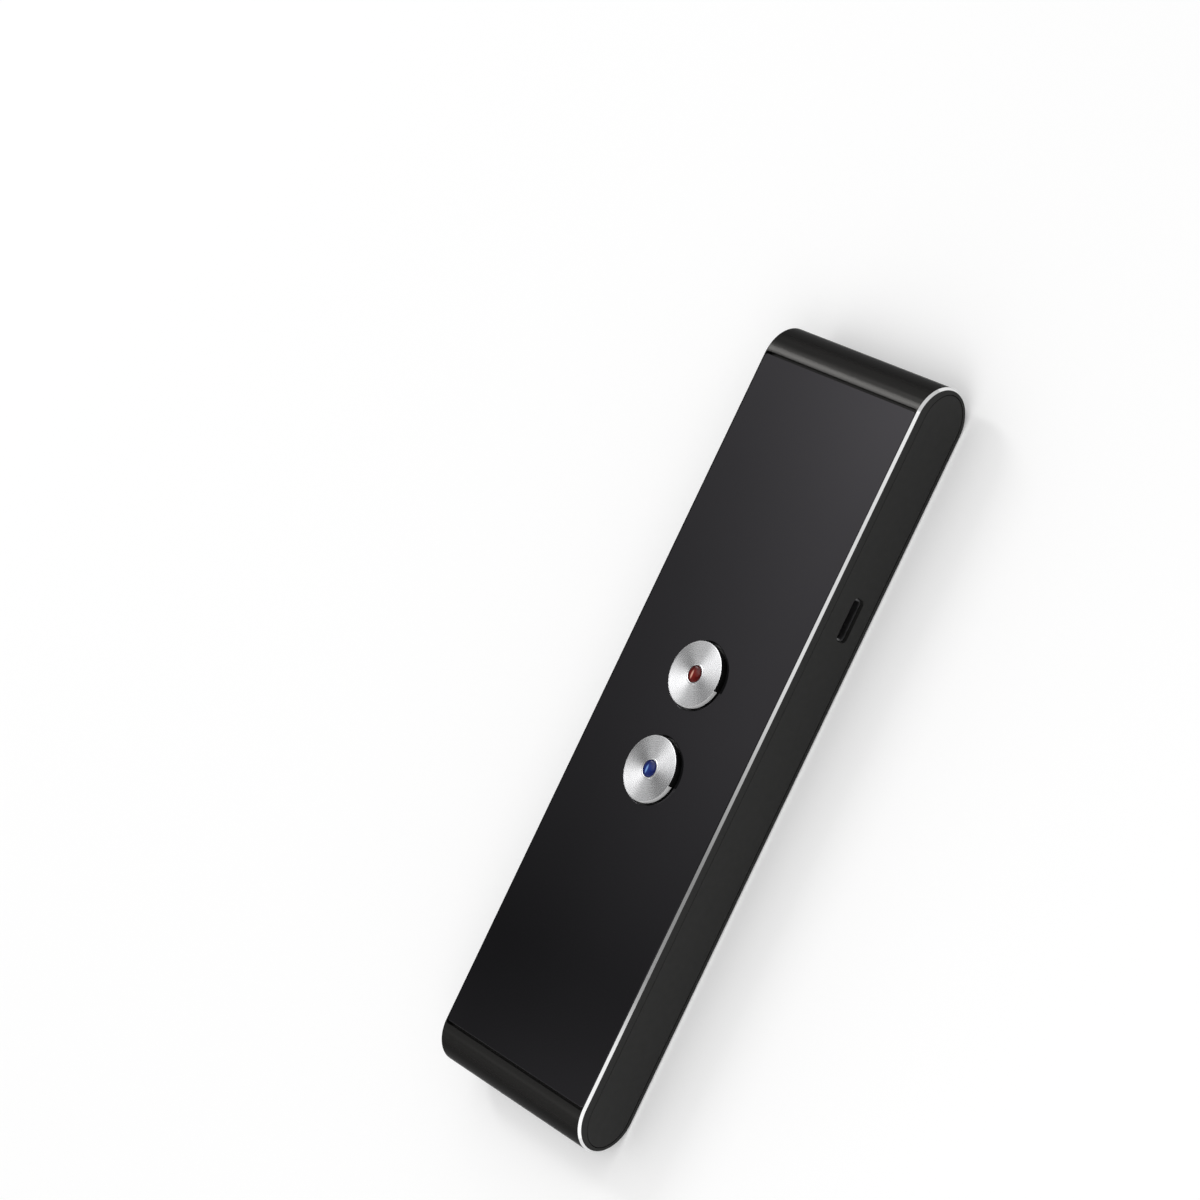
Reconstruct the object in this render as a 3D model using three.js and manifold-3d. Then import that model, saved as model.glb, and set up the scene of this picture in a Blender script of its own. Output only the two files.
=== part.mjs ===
// A handheld voice translator: a flat aluminium sleeve with rounded ends, a glossy
// front panel, two round talk keys, a power key and a volume rocker on the left
// side, a micro-USB port on the right side, and the working parts inside.
// Millimetres: x across, y towards the top end, z from the back face to the front.

import * as THREE from 'three';
import { mergeVertices } from 'three/addons/utils/BufferGeometryUtils.js';
import Module from 'manifold-3d';

const wasm = await Module();
wasm.setup();

// Sleeve, a tube cut to the width of the body
const bodyLength = 140;
const bodyWidth = 39;
const bodyThickness = 12;
const endReach = 6.6;
const backWall = 1;
const frontWall = 0.8;
const endWall = 1;
const edgeChamfer = 0.4;

// Front panel and the film that bonds it into its recess
const panelThickness = 0.9;
const panelLand = 0.05;
const panelEndPast = 0.1;
const panelSideGap = 0.1;
const panelEndGap = 0.5;
const panelCornerRadius = 0.6;
const panelBevel = 0.12;
const filmThickness = 0.15;
const filmInset = 1;
const filmHoleGap = 0.3;

// Round talk keys
const keyCapRadius = 5.85;
const keyCapThickness = 0.9;
const keyCapBevel = 0.1;
const keyDishDepth = 0.08;
const keyRimWidth = 0.25;
const keyRise = 1;
const keyHoleGap = 0.3;
const keyNeckOverhang = 0.3;
const keyFlangeLap = 0.6;
const keyFlangeThickness = 0.55;
const keyFlangeGap = 0.1;
const keyApertureGap = 0.4;
const keyWeb = 3.3;
const keyPostRadius = 1.6;
const keyPostLength = 1.15;

// Coloured lens in the middle of each talk key
const lensRadius = 1.5;
const lensGap = 0.05;
const lensDomeRise = 0.3;
const lensDepth = 0.55;
const lensCollarWidth = 0.28;
const lensCollarRise = 0.08;

// Push switches, upright ones under the talk keys and lying ones behind the side keys
const switchTravel = 0.3;
const switchSpare = 0.2;
const stemRadius = 0.9;
const stemGap = 0.15;
const stemGrip = 0.6;
const frontSwitchSide = 4.6;
const frontSwitchHeight = 1.6;
const switchLegWidth = 0.8;
const switchLegReach = 0.7;
const switchLegThickness = 0.2;
const sideStemRadius = 0.6;
const sideSwitchDepth = 3;
const sideSwitchWidth = 4.4;
const sideSwitchHeight = 2.2;
const sideSwitchSetback = 0.7;
const sideSwitchRoom = 0.2;

// Side plates that close the sleeve, with hooks that enter the inner frame
const plateThickness = 1.2;
const plateGap = 0.1;
const hookWidth = 5;
const hookHeight = 2;
const hookLength = 1.2;
const hookGap = 0.15;
const hookFromEnd = 9;
const hookFromBay = 3;
const hookAboveBack = 3.6;

// Power key and volume rocker
const powerKeyFromTop = 41.3;
const powerKeyLength = 8.2;
const powerKeyHeight = 3.2;
const sideKeySpacing = 6.6;
const rockerLength = 24;
const rockerHeight = 3.4;
const rockerSwitchInset = 3.5;
const rockerFlangeLength = 9;
const rockerFlangeGap = 0.15;
const sideKeyRise = 0.55;
const sideKeyBevel = 0.2;
const sideKeyTail = 0.7;
const sideKeyLift = 0.6;
const sideKeySlotGap = 0.15;
const sideFlangeMargin = 0.6;
const sideFlangeGap = 0.1;
const sideKeyRoom = 0.5;
const fulcrumWidth = 1.6;
const fulcrumGap = 0.1;

// Micro-USB receptacle
const usbFromTop = 42;
const usbWidth = 7.6;
const usbHeight = 2.6;
const usbDepth = 5.4;
const usbShellWall = 0.3;
const usbCornerRadius = 0.7;
const usbTongueWidth = 4.6;
const usbTongueThickness = 0.6;
const usbTongueSetback = 0.5;
const usbBackThickness = 0.9;
const usbInsertGap = 0.05;
const usbMouthSideGap = 0.15;
const usbMouthLip = 0.05;
const usbMouthRadius = 0.9;
const usbPocketDepth = 0.5;
const usbPocketGap = 0.25;
const usbFrontGap = 0.1;

// Inner frame, a plastic moulding that slides into the sleeve
const frameGap = 0.1;
const frameFloor = 0.6;
const frameRail = 3.2;
const frameWall = 0.8;
const frameBoreGap = 0.2;
const coreWall = 1.6;
const coreFloor = 1.2;
const bayFromTop = 29;
const bayFromSpeaker = 4;

// Main board and what is soldered to it
const boardThickness = 0.8;
const boardEndInset = 15;
const boardSideInset = 1.5;
const boardEndRoom = 1;
const boardCornerRadius = 1.5;
const processorSide = 12;
const processorHeight = 1.1;
const memoryWidth = 10;
const memoryLength = 11;
const memoryHeight = 0.9;
const powerChipSide = 5;
const powerChipHeight = 0.8;
const amplifierSide = 3;
const amplifierHeight = 0.7;
const radioSide = 9;
const radioHeight = 1;
const shieldMargin = 1.6;
const shieldWall = 0.2;
const shieldRoom = 0.3;
const antennaWidth = 2.2;
const antennaLength = 6.5;
const antennaHeight = 1.2;
const antennaFromBoardEnd = 11;
const antennaEdgeInset = 0.4;
const ledWidth = 0.8;
const ledLength = 1.6;
const ledHeight = 0.6;
const ledGap = 1;

// Battery cell, its tape, its protection board and its connector
const tapeThickness = 0.15;
const tapeInset = 4;
const cellEdgeGap = 0.2;
const cellTopGap = 0.35;
const cellCornerShare = 0.4;
const componentRoom = 21;
const protectionInset = 4.75;
const protectionLength = 2.8;
const protectionThickness = 1;
const protectionGap = 0.1;
const connectorWidth = 6;
const connectorLength = 4;
const connectorHeight = 2;
const connectorFromBay = 8;
const leadRadius = 0.45;
const leadSpread = 1.5;
const leadEndGap = 0.05;

// Speaker, its seal, its contacts and the holes that it sounds through
const speakerFromScrew = 2.65;
const speakerLength = 14;
const speakerFromBottom = 20;
const speakerTopGap = 0.9;
const speakerRoom = 0.3;
const speakerCornerRadius = 2.5;
const speakerMagnetRadius = 4.6;
const speakerMagnetRise = 0.4;
const sealThickness = 0.4;
const sealWidth = 1.2;
const contactGap = 1.6;
const contactWidth = 1.6;
const contactReach = 3.2;
const contactStrip = 0.15;
const grillePitch = 1.9;
const grilleHoleRadius = 0.5;

// Microphone and its rubber boot
const micFromBoardEnd = 4;
const micWidth = 3.8;
const micLength = 3;
const micHeight = 1.1;
const micHoleRadius = 0.5;
const bootRadius = 2.2;

// Screws
const frameScrewFromEnd = 10;
const frameScrewFromSide = 5;
const frameScrewRadius = 0.8;
const frameScrewHeadRadius = 1.4;
const frameScrewHeadHeight = 0.45;
const frameScrewHeadSink = 0.05;
const frameScrewLength = 3.8;
const boardScrewRadius = 0.6;
const boardScrewHeadRadius = 1.3;
const boardScrewHeadHeight = 0.5;
const boardScrewLength = 3.6;
const boardScrewInset = 2;
const boardScrewFromEnd = 3;
const screwHoleGap = 0.15;
const screwTipRoom = 0.4;
const screwSlotWidth = 0.35;
const screwSlotDepth = 0.22;

// How far a cutter runs past the face that it cuts
const overrun = 0.5;

// Counts
const endArcSteps = 12;
const roundSteps = 40;
const boreSteps = 16;
const cornerSteps = 4;
const panelHoleSteps = 10;
const grilleSteps = 8;
const grilleColumns = 8;
const grilleRows = 3;
const leadSteps = 10;
const leadSides = 8;

// Places worked out from the sizes
const topEnd = bodyLength / 2;
const side = bodyWidth / 2;
const flatHalf = topEnd - endReach;
const panelBottom = bodyThickness - panelThickness;
const recessFloor = panelBottom - filmThickness;
const cavityTop = recessFloor - frontWall;
const cavityReach = endReach - endWall;
const panelHalfWidth = side - edgeChamfer - panelLand - panelSideGap;
const panelHalfLength = flatHalf + panelEndPast;
const plateInner = side - plateThickness;
const frameSide = plateInner - frameGap;
const frameBottom = backWall + frameGap;
const frameFloorTop = frameBottom + frameFloor;
const keyHoleRadius = keyCapRadius + keyHoleGap;
const keyFlangeRadius = keyHoleRadius + keyFlangeLap;
const keyApertureRadius = keyFlangeRadius + keyApertureGap;
const keyPitch = 2 * keyApertureRadius + keyWeb;
const keyFlangeTop = panelBottom - keyFlangeGap;
const keyFlangeBottom = keyFlangeTop - keyFlangeThickness;
const stemRise = switchTravel + switchSpare;
const stemTop = keyFlangeBottom - keyPostLength;
const boardTop = stemTop - stemRise - frontSwitchHeight;
const boardBottom = boardTop - boardThickness;
const boardSide = frameSide - boardSideInset;
const boardEnd = topEnd - boardEndInset;
const blockStart = boardEnd + boardEndRoom;
const sideStemDrop = sideSwitchHeight / 2;
const sideStemZ = boardBottom - sideStemDrop;
const sideKeyZ = sideStemZ + sideKeyLift;
const sideKeyBack = -plateInner + sideKeyTail;
const sideSwitchFront = sideKeyBack + sideSwitchSetback;
const sideSwitchBack = sideSwitchFront + sideSwitchDepth;
const powerKeyY = topEnd - powerKeyFromTop;
const rockerY = powerKeyY - powerKeyLength / 2 - sideKeySpacing - rockerLength / 2;
const rockerSwitchOffset = rockerLength / 2 - rockerSwitchInset;
const rockerSwitchPlaces = { up: rockerY + rockerSwitchOffset, down: rockerY - rockerSwitchOffset };
const usbY = topEnd - usbFromTop;
const usbZ = boardBottom - usbHeight / 2;
const usbFront = plateInner + usbPocketDepth - usbFrontGap;
const micY = boardEnd - micFromBoardEnd;
const boardScrewX = boardSide - boardScrewInset;
const boardScrewY = boardEnd - boardScrewFromEnd;
const speakerRoomHalf = boardScrewX - boardScrewRadius - screwHoleGap - speakerFromScrew;
const speakerWidth = 2 * (speakerRoomHalf - speakerRoom);
const speakerY = speakerFromBottom - topEnd;
const speakerBottom = backWall + sealThickness;
const speakerTop = boardBottom - speakerTopGap;
const bayTop = topEnd - bayFromTop;
const bayBottom = speakerY + speakerLength / 2 + speakerRoom + bayFromSpeaker;
const bayLeft = sideSwitchBack + sideSwitchRoom + frameWall;
const bayRight = frameSide - frameRail;
const cellLeft = bayLeft + cellEdgeGap;
const cellRight = bayRight - cellEdgeGap;
const cellBottom = bayBottom + cellEdgeGap;
const cellTop = bayTop - componentRoom;
const cellX = (cellLeft + cellRight) / 2;
const cellY = (cellBottom + cellTop) / 2;
const cellFloor = frameFloorTop + tapeThickness;
const cellThickness = boardBottom - cellTopGap - cellFloor;
const connectorY = bayTop - connectorFromBay;
const hookPlaces = [hookFromEnd - topEnd, bayTop + hookFromBay, topEnd - hookFromEnd];
const frameScrewX = side - frameScrewFromSide;
const frameScrewY = topEnd - frameScrewFromEnd;
const keySwitchEnd = (keyPitch + frontSwitchSide) / 2;
const shieldSide = radioSide + 2 * shieldMargin;
const [processorY, memoryY] = spread([processorSide, memoryLength], keySwitchEnd, boardEnd);
const [powerChipY, radioY, amplifierY] = spread(
  [powerChipSide, shieldSide, amplifierSide],
  keySwitchEnd,
  boardEnd,
);
const corners = [[-1, -1], [-1, 1], [1, -1], [1, 1]];

// A closed three.js geometry as a solid that can be joined and cut
function solid(geometry) {
  const bare = geometry.clone();
  bare.deleteAttribute('normal');
  bare.deleteAttribute('uv');
  const merged = mergeVertices(bare);
  return new wasm.Manifold(new wasm.Mesh({
    numProp: 3,
    vertProperties: new Float32Array(merged.attributes.position.array),
    triVerts: new Uint32Array(merged.index.array),
  }));
}

// A named mesh from a solid, with its own material
function piece(name, shape, look) {
  const { vertProperties, triVerts } = shape.getMesh();
  const geometry = new THREE.BufferGeometry();
  geometry.setAttribute('position', new THREE.BufferAttribute(new Float32Array(vertProperties), 3));
  geometry.setIndex(new THREE.BufferAttribute(new Uint32Array(triVerts), 1));
  geometry.computeVertexNormals();
  const mesh = new THREE.Mesh(geometry, new THREE.MeshStandardMaterial(look));
  mesh.name = name;
  return mesh;
}

// A box between two values on each axis
function block([x0, x1], [y0, y1], [z0, z1]) {
  const geometry = new THREE.BoxGeometry(x1 - x0, y1 - y0, z1 - z0);
  return solid(geometry.translate((x0 + x1) / 2, (y0 + y1) / 2, (z0 + z1) / 2));
}

// Values at equal distances on both sides of a middle
function about(middle, width) {
  return [middle - width / 2, middle + width / 2];
}

// An upright round bar or cutter
function upright(radius, [z0, z1], x = 0, y = 0, steps = boreSteps) {
  const geometry = new THREE.CylinderGeometry(radius, radius, z1 - z0, steps);
  return solid(geometry.rotateX(Math.PI / 2).translate(x, y, (z0 + z1) / 2));
}

// A round bar or cutter that lies along x
function lying(radius, [x0, x1], y, z, steps = boreSteps) {
  const geometry = new THREE.CylinderGeometry(radius, radius, x1 - x0, steps);
  return solid(geometry.rotateZ(Math.PI / 2).translate((x0 + x1) / 2, y, z));
}

// A profile of [radius, height] points turned about z
function turned(points, steps = roundSteps) {
  const geometry = new THREE.LatheGeometry(points.map(([r, z]) => new THREE.Vector2(r, z)), steps);
  return solid(geometry.rotateX(Math.PI / 2));
}

// A rectangle with rounded corners, centred on its own origin
function roundedRectangle(width, height, radius) {
  const shape = new THREE.Shape();
  const x = width / 2 - radius;
  const y = height / 2 - radius;
  shape.absarc(x, y, radius, 0, Math.PI / 2, false);
  shape.absarc(-x, y, radius, Math.PI / 2, Math.PI, false);
  shape.absarc(-x, -y, radius, Math.PI, Math.PI * 1.5, false);
  shape.absarc(x, -y, radius, Math.PI * 1.5, Math.PI * 2, false);
  return shape;
}

// A shape raised along z, with an equal bevel on both of its faces if one is given
function raised(shape, [z0, z1], bevel = 0, curveSegments = cornerSteps) {
  const geometry = new THREE.ExtrudeGeometry(shape, {
    depth: z1 - z0 - 2 * bevel,
    curveSegments,
    bevelEnabled: bevel > 0,
    bevelThickness: bevel,
    bevelSize: bevel,
    bevelOffset: -bevel,
    bevelSegments: 1,
  });
  return geometry.translate(0, 0, z0 + bevel);
}

// A slab with rounded corners that lies flat
function slab(width, length, radius, span, x = 0, y = 0) {
  return solid(raised(roundedRectangle(width, length, radius), span).translate(x, y, 0));
}

// A shape drawn in y and z and raised along x
function across(shape, span, bevel, curveSegments) {
  const turn = new THREE.Matrix4().makeBasis(
    new THREE.Vector3(0, 1, 0),
    new THREE.Vector3(0, 0, 1),
    new THREE.Vector3(1, 0, 0),
  );
  return raised(shape, span, bevel, curveSegments).applyMatrix4(turn);
}

// A rounded block raised along x about a place on a side plate
function sideways(length, height, radius, span, y, z, bevel = 0) {
  return solid(across(roundedRectangle(length, height, radius), span, bevel).translate(0, y, z));
}

// The section of the body in y and z: flat faces and half-elliptic ends
function bodySection(reach, bottom, top, inset = 0) {
  const shape = new THREE.Shape();
  const middle = (bottom + top) / 2;
  const rise = (top - bottom) / 2 - inset;
  const run = reach - inset;
  shape.absellipse(flatHalf, middle, run, rise, -Math.PI / 2, Math.PI / 2, false);
  shape.absellipse(-flatHalf, middle, run, rise, Math.PI / 2, Math.PI * 1.5, false);
  return shape;
}

// What fills the sleeve's cavity, less a gap all round
function cavityFill(span, inset) {
  return solid(across(bodySection(cavityReach, backWall, cavityTop, inset), span, 0, endArcSteps));
}

// Looks, shared by pieces of one stuff
const looks = {
  sleeve: { color: 0x2b2a2b, roughness: 0.38, metalness: 0.85 },
  panel: { color: 0x0b0b0d, roughness: 0.06, metalness: 0 },
  plate: { color: 0x2a2a28, roughness: 0.6, metalness: 0 },
  silver: { color: 0xc4c4c6, roughness: 0.28, metalness: 0.95 },
  satin: { color: 0xa9a9ab, roughness: 0.42, metalness: 0.9 },
  black: { color: 0x131313, roughness: 0.5, metalness: 0 },
  frame: { color: 0x1e1f20, roughness: 0.65, metalness: 0 },
  board: { color: 0x10432a, roughness: 0.45, metalness: 0 },
  steel: { color: 0xb9bbbd, roughness: 0.3, metalness: 1 },
  chip: { color: 0x17181a, roughness: 0.55, metalness: 0 },
  cell: { color: 0xa3a6aa, roughness: 0.4, metalness: 0.4 },
  film: { color: 0x1c1c1c, roughness: 0.8, metalness: 0 },
  tape: { color: 0xd9d4c2, roughness: 0.8, metalness: 0 },
  rubber: { color: 0x1a1a1a, roughness: 0.9, metalness: 0 },
  ceramic: { color: 0xe6e3da, roughness: 0.5, metalness: 0 },
  brass: { color: 0xb8964a, roughness: 0.3, metalness: 1 },
  redLens: { color: 0x7c1216, roughness: 0.1, metalness: 0 },
  blueLens: { color: 0x163a9a, roughness: 0.1, metalness: 0 },
  redLead: { color: 0xa81c1c, roughness: 0.5, metalness: 0 },
  blackLead: { color: 0x151515, roughness: 0.5, metalness: 0 },
};

// Sleeve

function grilleHoles() {
  const holes = [];
  for (let column = 0; column < grilleColumns; column += 1) {
    for (let row = 0; row < grilleRows; row += 1) {
      const x = (column - (grilleColumns - 1) / 2) * grillePitch;
      const y = speakerY + (row - (grilleRows - 1) / 2) * grillePitch;
      holes.push(upright(grilleHoleRadius, [-overrun, backWall + overrun], x, y, grilleSteps));
    }
  }
  return holes;
}

function sleeve() {
  const outline = bodySection(endReach, 0, bodyThickness);
  let shape = solid(across(outline, [-side, side], edgeChamfer, endArcSteps));
  shape = shape.subtract(cavityFill([-side - overrun, side + overrun], 0));
  const recessWidth = 2 * (panelHalfWidth + panelSideGap);
  const recessLength = 2 * (panelHalfLength + panelEndGap);
  const recess = [recessFloor, bodyThickness + overrun];
  shape = shape.subtract(slab(recessWidth, recessLength, panelCornerRadius, recess));
  const throughFront = [cavityTop - overrun, recessFloor + overrun];
  for (const end of [-1, 1]) {
    shape = shape.subtract(upright(keyApertureRadius, throughFront, 0, end * keyPitch / 2, roundSteps));
  }
  const seat = recessFloor - frameScrewHeadSink - frameScrewHeadHeight;
  for (const [i, j] of corners) {
    const place = [i * frameScrewX, j * frameScrewY];
    const headRoom = [seat, recessFloor + overrun];
    shape = shape.subtract(upright(frameScrewHeadRadius + screwHoleGap, headRoom, ...place));
    shape = shape.subtract(upright(frameScrewRadius + screwHoleGap, throughFront, ...place));
  }
  for (const hole of grilleHoles()) {
    shape = shape.subtract(hole);
  }
  shape = shape.subtract(upright(micHoleRadius, [-overrun, backWall + overrun], 0, micY));
  return piece('housing_sleeve', shape, looks.sleeve);
}

// Front panel and its film

function frontPanel() {
  const outline = roundedRectangle(2 * panelHalfWidth, 2 * panelHalfLength, panelCornerRadius);
  for (const end of [-1, 1]) {
    const hole = new THREE.Path();
    hole.absarc(0, end * keyPitch / 2, keyHoleRadius, 0, Math.PI * 2, true);
    outline.holes.push(hole);
  }
  const plate = raised(outline, [0, panelThickness], panelBevel, panelHoleSteps);
  const mesh = piece('front_panel', solid(plate), looks.panel);
  mesh.position.z = panelBottom;
  return mesh;
}

function panelFilm() {
  const width = 2 * (panelHalfWidth - filmInset);
  const length = 2 * (panelHalfLength - filmInset);
  const radius = keyApertureRadius + filmHoleGap;
  const through = [-overrun, filmThickness + overrun];
  let shape = slab(width, length, panelCornerRadius, [0, filmThickness]);
  for (const end of [-1, 1]) {
    shape = shape.subtract(upright(radius, through, 0, end * keyPitch / 2, roundSteps));
  }
  const mesh = piece('panel_adhesive_film', shape, looks.film);
  mesh.position.z = recessFloor;
  return mesh;
}

// Talk keys: each group's origin is on the key's axis, level with the panel's face

function keyCap(name) {
  const top = keyRise;
  const bottom = top - keyCapThickness;
  const dish = top - keyDishDepth;
  const bore = lensRadius + lensGap;
  const collar = bore + lensCollarWidth;
  const profile = [
    [bore, bottom],
    [keyCapRadius - keyCapBevel, bottom],
    [keyCapRadius, bottom + keyCapBevel],
    [keyCapRadius, top - keyCapBevel],
    [keyCapRadius - keyCapBevel, top],
    [keyCapRadius - keyRimWidth, top],
    [collar, dish],
    [collar, dish + lensCollarRise],
    [bore, dish + lensCollarRise],
    [bore, bottom],
  ];
  return piece(name, turned(profile), looks.silver);
}

function keyLens(name, look) {
  const foot = keyRise - keyCapThickness - lensDepth;
  const shoulder = keyRise - keyDishDepth;
  const dome = new THREE.EllipseCurve(0, shoulder, lensRadius, lensDomeRise, 0, Math.PI / 2);
  const arc = dome.getPoints(cornerSteps).map((point) => [point.x, point.y]);
  arc[arc.length - 1][0] = 0;
  return piece(name, turned([[0, foot], [lensRadius, foot], ...arc], boreSteps), look);
}

function keyPlunger(name) {
  const neckTop = keyRise - keyCapThickness;
  const flangeTop = keyFlangeTop - bodyThickness;
  const flangeBottom = keyFlangeBottom - bodyThickness;
  const postBottom = stemTop - bodyThickness;
  const neckRadius = keyCapRadius - keyNeckOverhang;
  const profile = [
    [0, postBottom],
    [keyPostRadius, postBottom],
    [keyPostRadius, flangeBottom],
    [keyFlangeRadius, flangeBottom],
    [keyFlangeRadius, flangeTop],
    [neckRadius, flangeTop],
    [neckRadius, neckTop],
    [lensRadius + lensGap, neckTop],
    [lensRadius + lensGap, neckTop - lensDepth],
    [0, neckTop - lensDepth],
  ];
  return piece(name, turned(profile), looks.black);
}

function switchStem(name) {
  const mesh = piece(name, upright(stemRadius, [-stemRise - stemGrip, 0]), looks.black);
  mesh.position.z = stemTop - bodyThickness;
  return mesh;
}

function talkKey(colour, y, lensLook) {
  const group = new THREE.Group();
  group.position.set(0, y, bodyThickness);
  group.add(keyCap(`${colour}_key_cap`));
  group.add(keyLens(`${colour}_key_lens`, lensLook));
  group.add(keyPlunger(`${colour}_key_plunger`));
  group.add(switchStem(`${colour}_switch_stem`));
  return group;
}

// Upright switches and lamps on the board, under the talk keys

function frontSwitch(name, y) {
  const half = frontSwitchSide / 2;
  let shape = block([-half, half], [-half, half], [0, frontSwitchHeight]);
  for (const [i, j] of corners) {
    const legX = about(i * half, 2 * switchLegReach);
    const legY = about(j * (half - switchLegWidth / 2), switchLegWidth);
    shape = shape.add(block(legX, legY, [0, switchLegThickness]));
  }
  const wellFloor = frontSwitchHeight - stemGrip - stemRise;
  const well = upright(stemRadius + stemGap, [wellFloor, frontSwitchHeight + overrun]);
  const mesh = piece(name, shape.subtract(well), looks.black);
  mesh.position.set(0, y, boardTop);
  return mesh;
}

function lamp(name, y, look) {
  const mesh = piece(name, block(about(0, ledWidth), about(0, ledLength), [0, ledHeight]), look);
  const legEnd = frontSwitchSide / 2 + switchLegReach;
  mesh.position.set(legEnd + ledGap + ledWidth / 2, y, boardTop);
  return mesh;
}

// Side plates

function plateBlank(face) {
  const span = face > 0 ? [plateInner, side] : [-side, -plateInner];
  const root = plateThickness / 2;
  const hookMiddle = face * (plateInner + (root - hookLength) / 2);
  const hookSpan = about(hookMiddle, hookLength + root);
  let shape = cavityFill(span, plateGap);
  for (const y of hookPlaces) {
    shape = shape.add(block(hookSpan, about(y, hookWidth), about(hookAboveBack, hookHeight)));
  }
  return shape;
}

function leftPlate() {
  const through = [-side - overrun, -plateInner + overrun];
  const slots = [
    [powerKeyLength, powerKeyHeight, powerKeyY],
    [rockerLength, rockerHeight, rockerY],
  ];
  let shape = plateBlank(-1);
  for (const [length, height, y] of slots) {
    const slotHeight = height + 2 * sideKeySlotGap;
    const slotLength = length + 2 * sideKeySlotGap;
    shape = shape.subtract(sideways(slotLength, slotHeight, slotHeight / 2, through, y, sideKeyZ));
  }
  return piece('left_side_plate', shape, looks.plate);
}

function rightPlate() {
  const through = [plateInner - overrun, side + overrun];
  const pocket = [plateInner - overrun, plateInner + usbPocketDepth];
  const pocketWidth = usbWidth + 2 * usbPocketGap;
  const pocketHeight = usbHeight + 2 * usbPocketGap;
  const mouthWidth = usbWidth + 2 * usbMouthSideGap;
  const mouthHeight = usbHeight - 2 * usbMouthLip;
  let shape = plateBlank(1);
  shape = shape.subtract(sideways(mouthWidth, mouthHeight, usbMouthRadius, through, usbY, usbZ));
  shape = shape.subtract(sideways(pocketWidth, pocketHeight, usbCornerRadius, pocket, usbY, usbZ));
  return piece('right_side_plate', shape, looks.plate);
}

// Side keys: each group's origin is on the side plate's outer face, in the key's middle

function sideKeyBody(length, height) {
  const tail = plateThickness + sideKeyTail;
  return sideways(length, height, height / 2, [-sideKeyRise, tail], 0, 0, sideKeyBevel);
}

function sideKeyFlange(length, height, gap) {
  const span = [plateThickness + gap, plateThickness + sideKeyTail - sideKeyBevel];
  return block(span, about(0, length), about(0, height));
}

function sideStem(name, y) {
  const stem = lying(sideStemRadius, [0, sideSwitchSetback + stemGrip + sideSwitchRoom], 0, 0);
  const mesh = piece(name, stem, looks.black);
  mesh.position.set(plateThickness + sideKeyTail, y, -sideKeyLift);
  return mesh;
}

function powerKey() {
  const group = new THREE.Group();
  group.position.set(-side, powerKeyY, sideKeyZ);
  const flangeLength = powerKeyLength + 2 * sideFlangeMargin;
  const flange = sideKeyFlange(flangeLength, powerKeyHeight + 2 * sideFlangeMargin, sideFlangeGap);
  const key = sideKeyBody(powerKeyLength, powerKeyHeight).add(flange);
  group.add(piece('power_key', key, looks.satin));
  group.add(sideStem('power_switch_stem', 0));
  return group;
}

function volumeRocker() {
  const group = new THREE.Group();
  group.position.set(-side, rockerY, sideKeyZ);
  const flange = sideKeyFlange(rockerFlangeLength, rockerHeight + 2 * sideFlangeMargin, rockerFlangeGap);
  const key = sideKeyBody(rockerLength, rockerHeight).add(flange);
  group.add(piece('volume_rocker', key, looks.satin));
  for (const [which, y] of Object.entries(rockerSwitchPlaces)) {
    group.add(sideStem(`volume_${which}_switch_stem`, y - rockerY));
  }
  return group;
}

function sideSwitch(name, y) {
  const half = sideSwitchWidth / 2;
  const body = block([0, sideSwitchDepth], [-half, half], [-sideSwitchHeight, 0]);
  const wellDepth = stemGrip + stemRise + sideSwitchRoom;
  const well = lying(sideStemRadius + stemGap, [-overrun, wellDepth], 0, -sideStemDrop);
  const mesh = piece(name, body.subtract(well), looks.black);
  mesh.position.set(sideSwitchFront, y, boardBottom);
  return mesh;
}

// Inner frame

function sideKeyRooms() {
  const front = -frameSide - overrun;
  const channel = [front, sideKeyBack + sideKeyRoom];
  const above = [sideKeyZ - rockerHeight / 2 - sideFlangeMargin - sideKeyRoom, boardBottom + overrun];
  const pocketDepth = [front, sideSwitchBack + sideSwitchRoom];
  const pocketHeight = [boardBottom - sideSwitchHeight - sideSwitchRoom, boardBottom + overrun];
  const powerLength = powerKeyLength + 2 * (sideFlangeMargin + sideKeyRoom);
  const cuts = [
    block(channel, about(powerKeyY, powerLength), above),
    block(channel, about(rockerY, rockerLength + 2 * sideKeyRoom), above),
  ];
  for (const y of [powerKeyY, rockerSwitchPlaces.up, rockerSwitchPlaces.down]) {
    cuts.push(block(pocketDepth, about(y, sideSwitchWidth + 2 * sideSwitchRoom), pocketHeight));
  }
  return cuts;
}

function frameCuts() {
  const open = boardBottom + overrun;
  const speakerRoomLength = speakerLength + 2 * speakerRoom;
  const throughFloor = [frameBottom - overrun, open];
  const cuts = [
    block([bayLeft, bayRight], [bayBottom, bayTop], [frameFloorTop, open]),
    block(about(0, 2 * speakerRoomHalf), about(speakerY, speakerRoomLength), throughFloor),
    upright(bootRadius + frameBoreGap, throughFloor, 0, micY),
    block(
      about(0, micWidth + 2 * frameBoreGap),
      about(micY, micLength + 2 * frameBoreGap),
      [boardBottom - micHeight - frameBoreGap, open],
    ),
    block(
      [usbFront - usbDepth - frameBoreGap, frameSide + overrun],
      about(usbY, usbWidth + 2 * frameBoreGap),
      [boardBottom - usbHeight - frameBoreGap, open],
    ),
  ];
  const hookDepth = 2 * (hookLength + hookGap);
  const hookRise = about(hookAboveBack, hookHeight + 2 * hookGap);
  for (const y of hookPlaces) {
    for (const face of [-1, 1]) {
      cuts.push(block(about(face * frameSide, hookDepth), about(y, hookWidth + 2 * hookGap), hookRise));
    }
  }
  return cuts.concat(sideKeyRooms());
}

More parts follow.
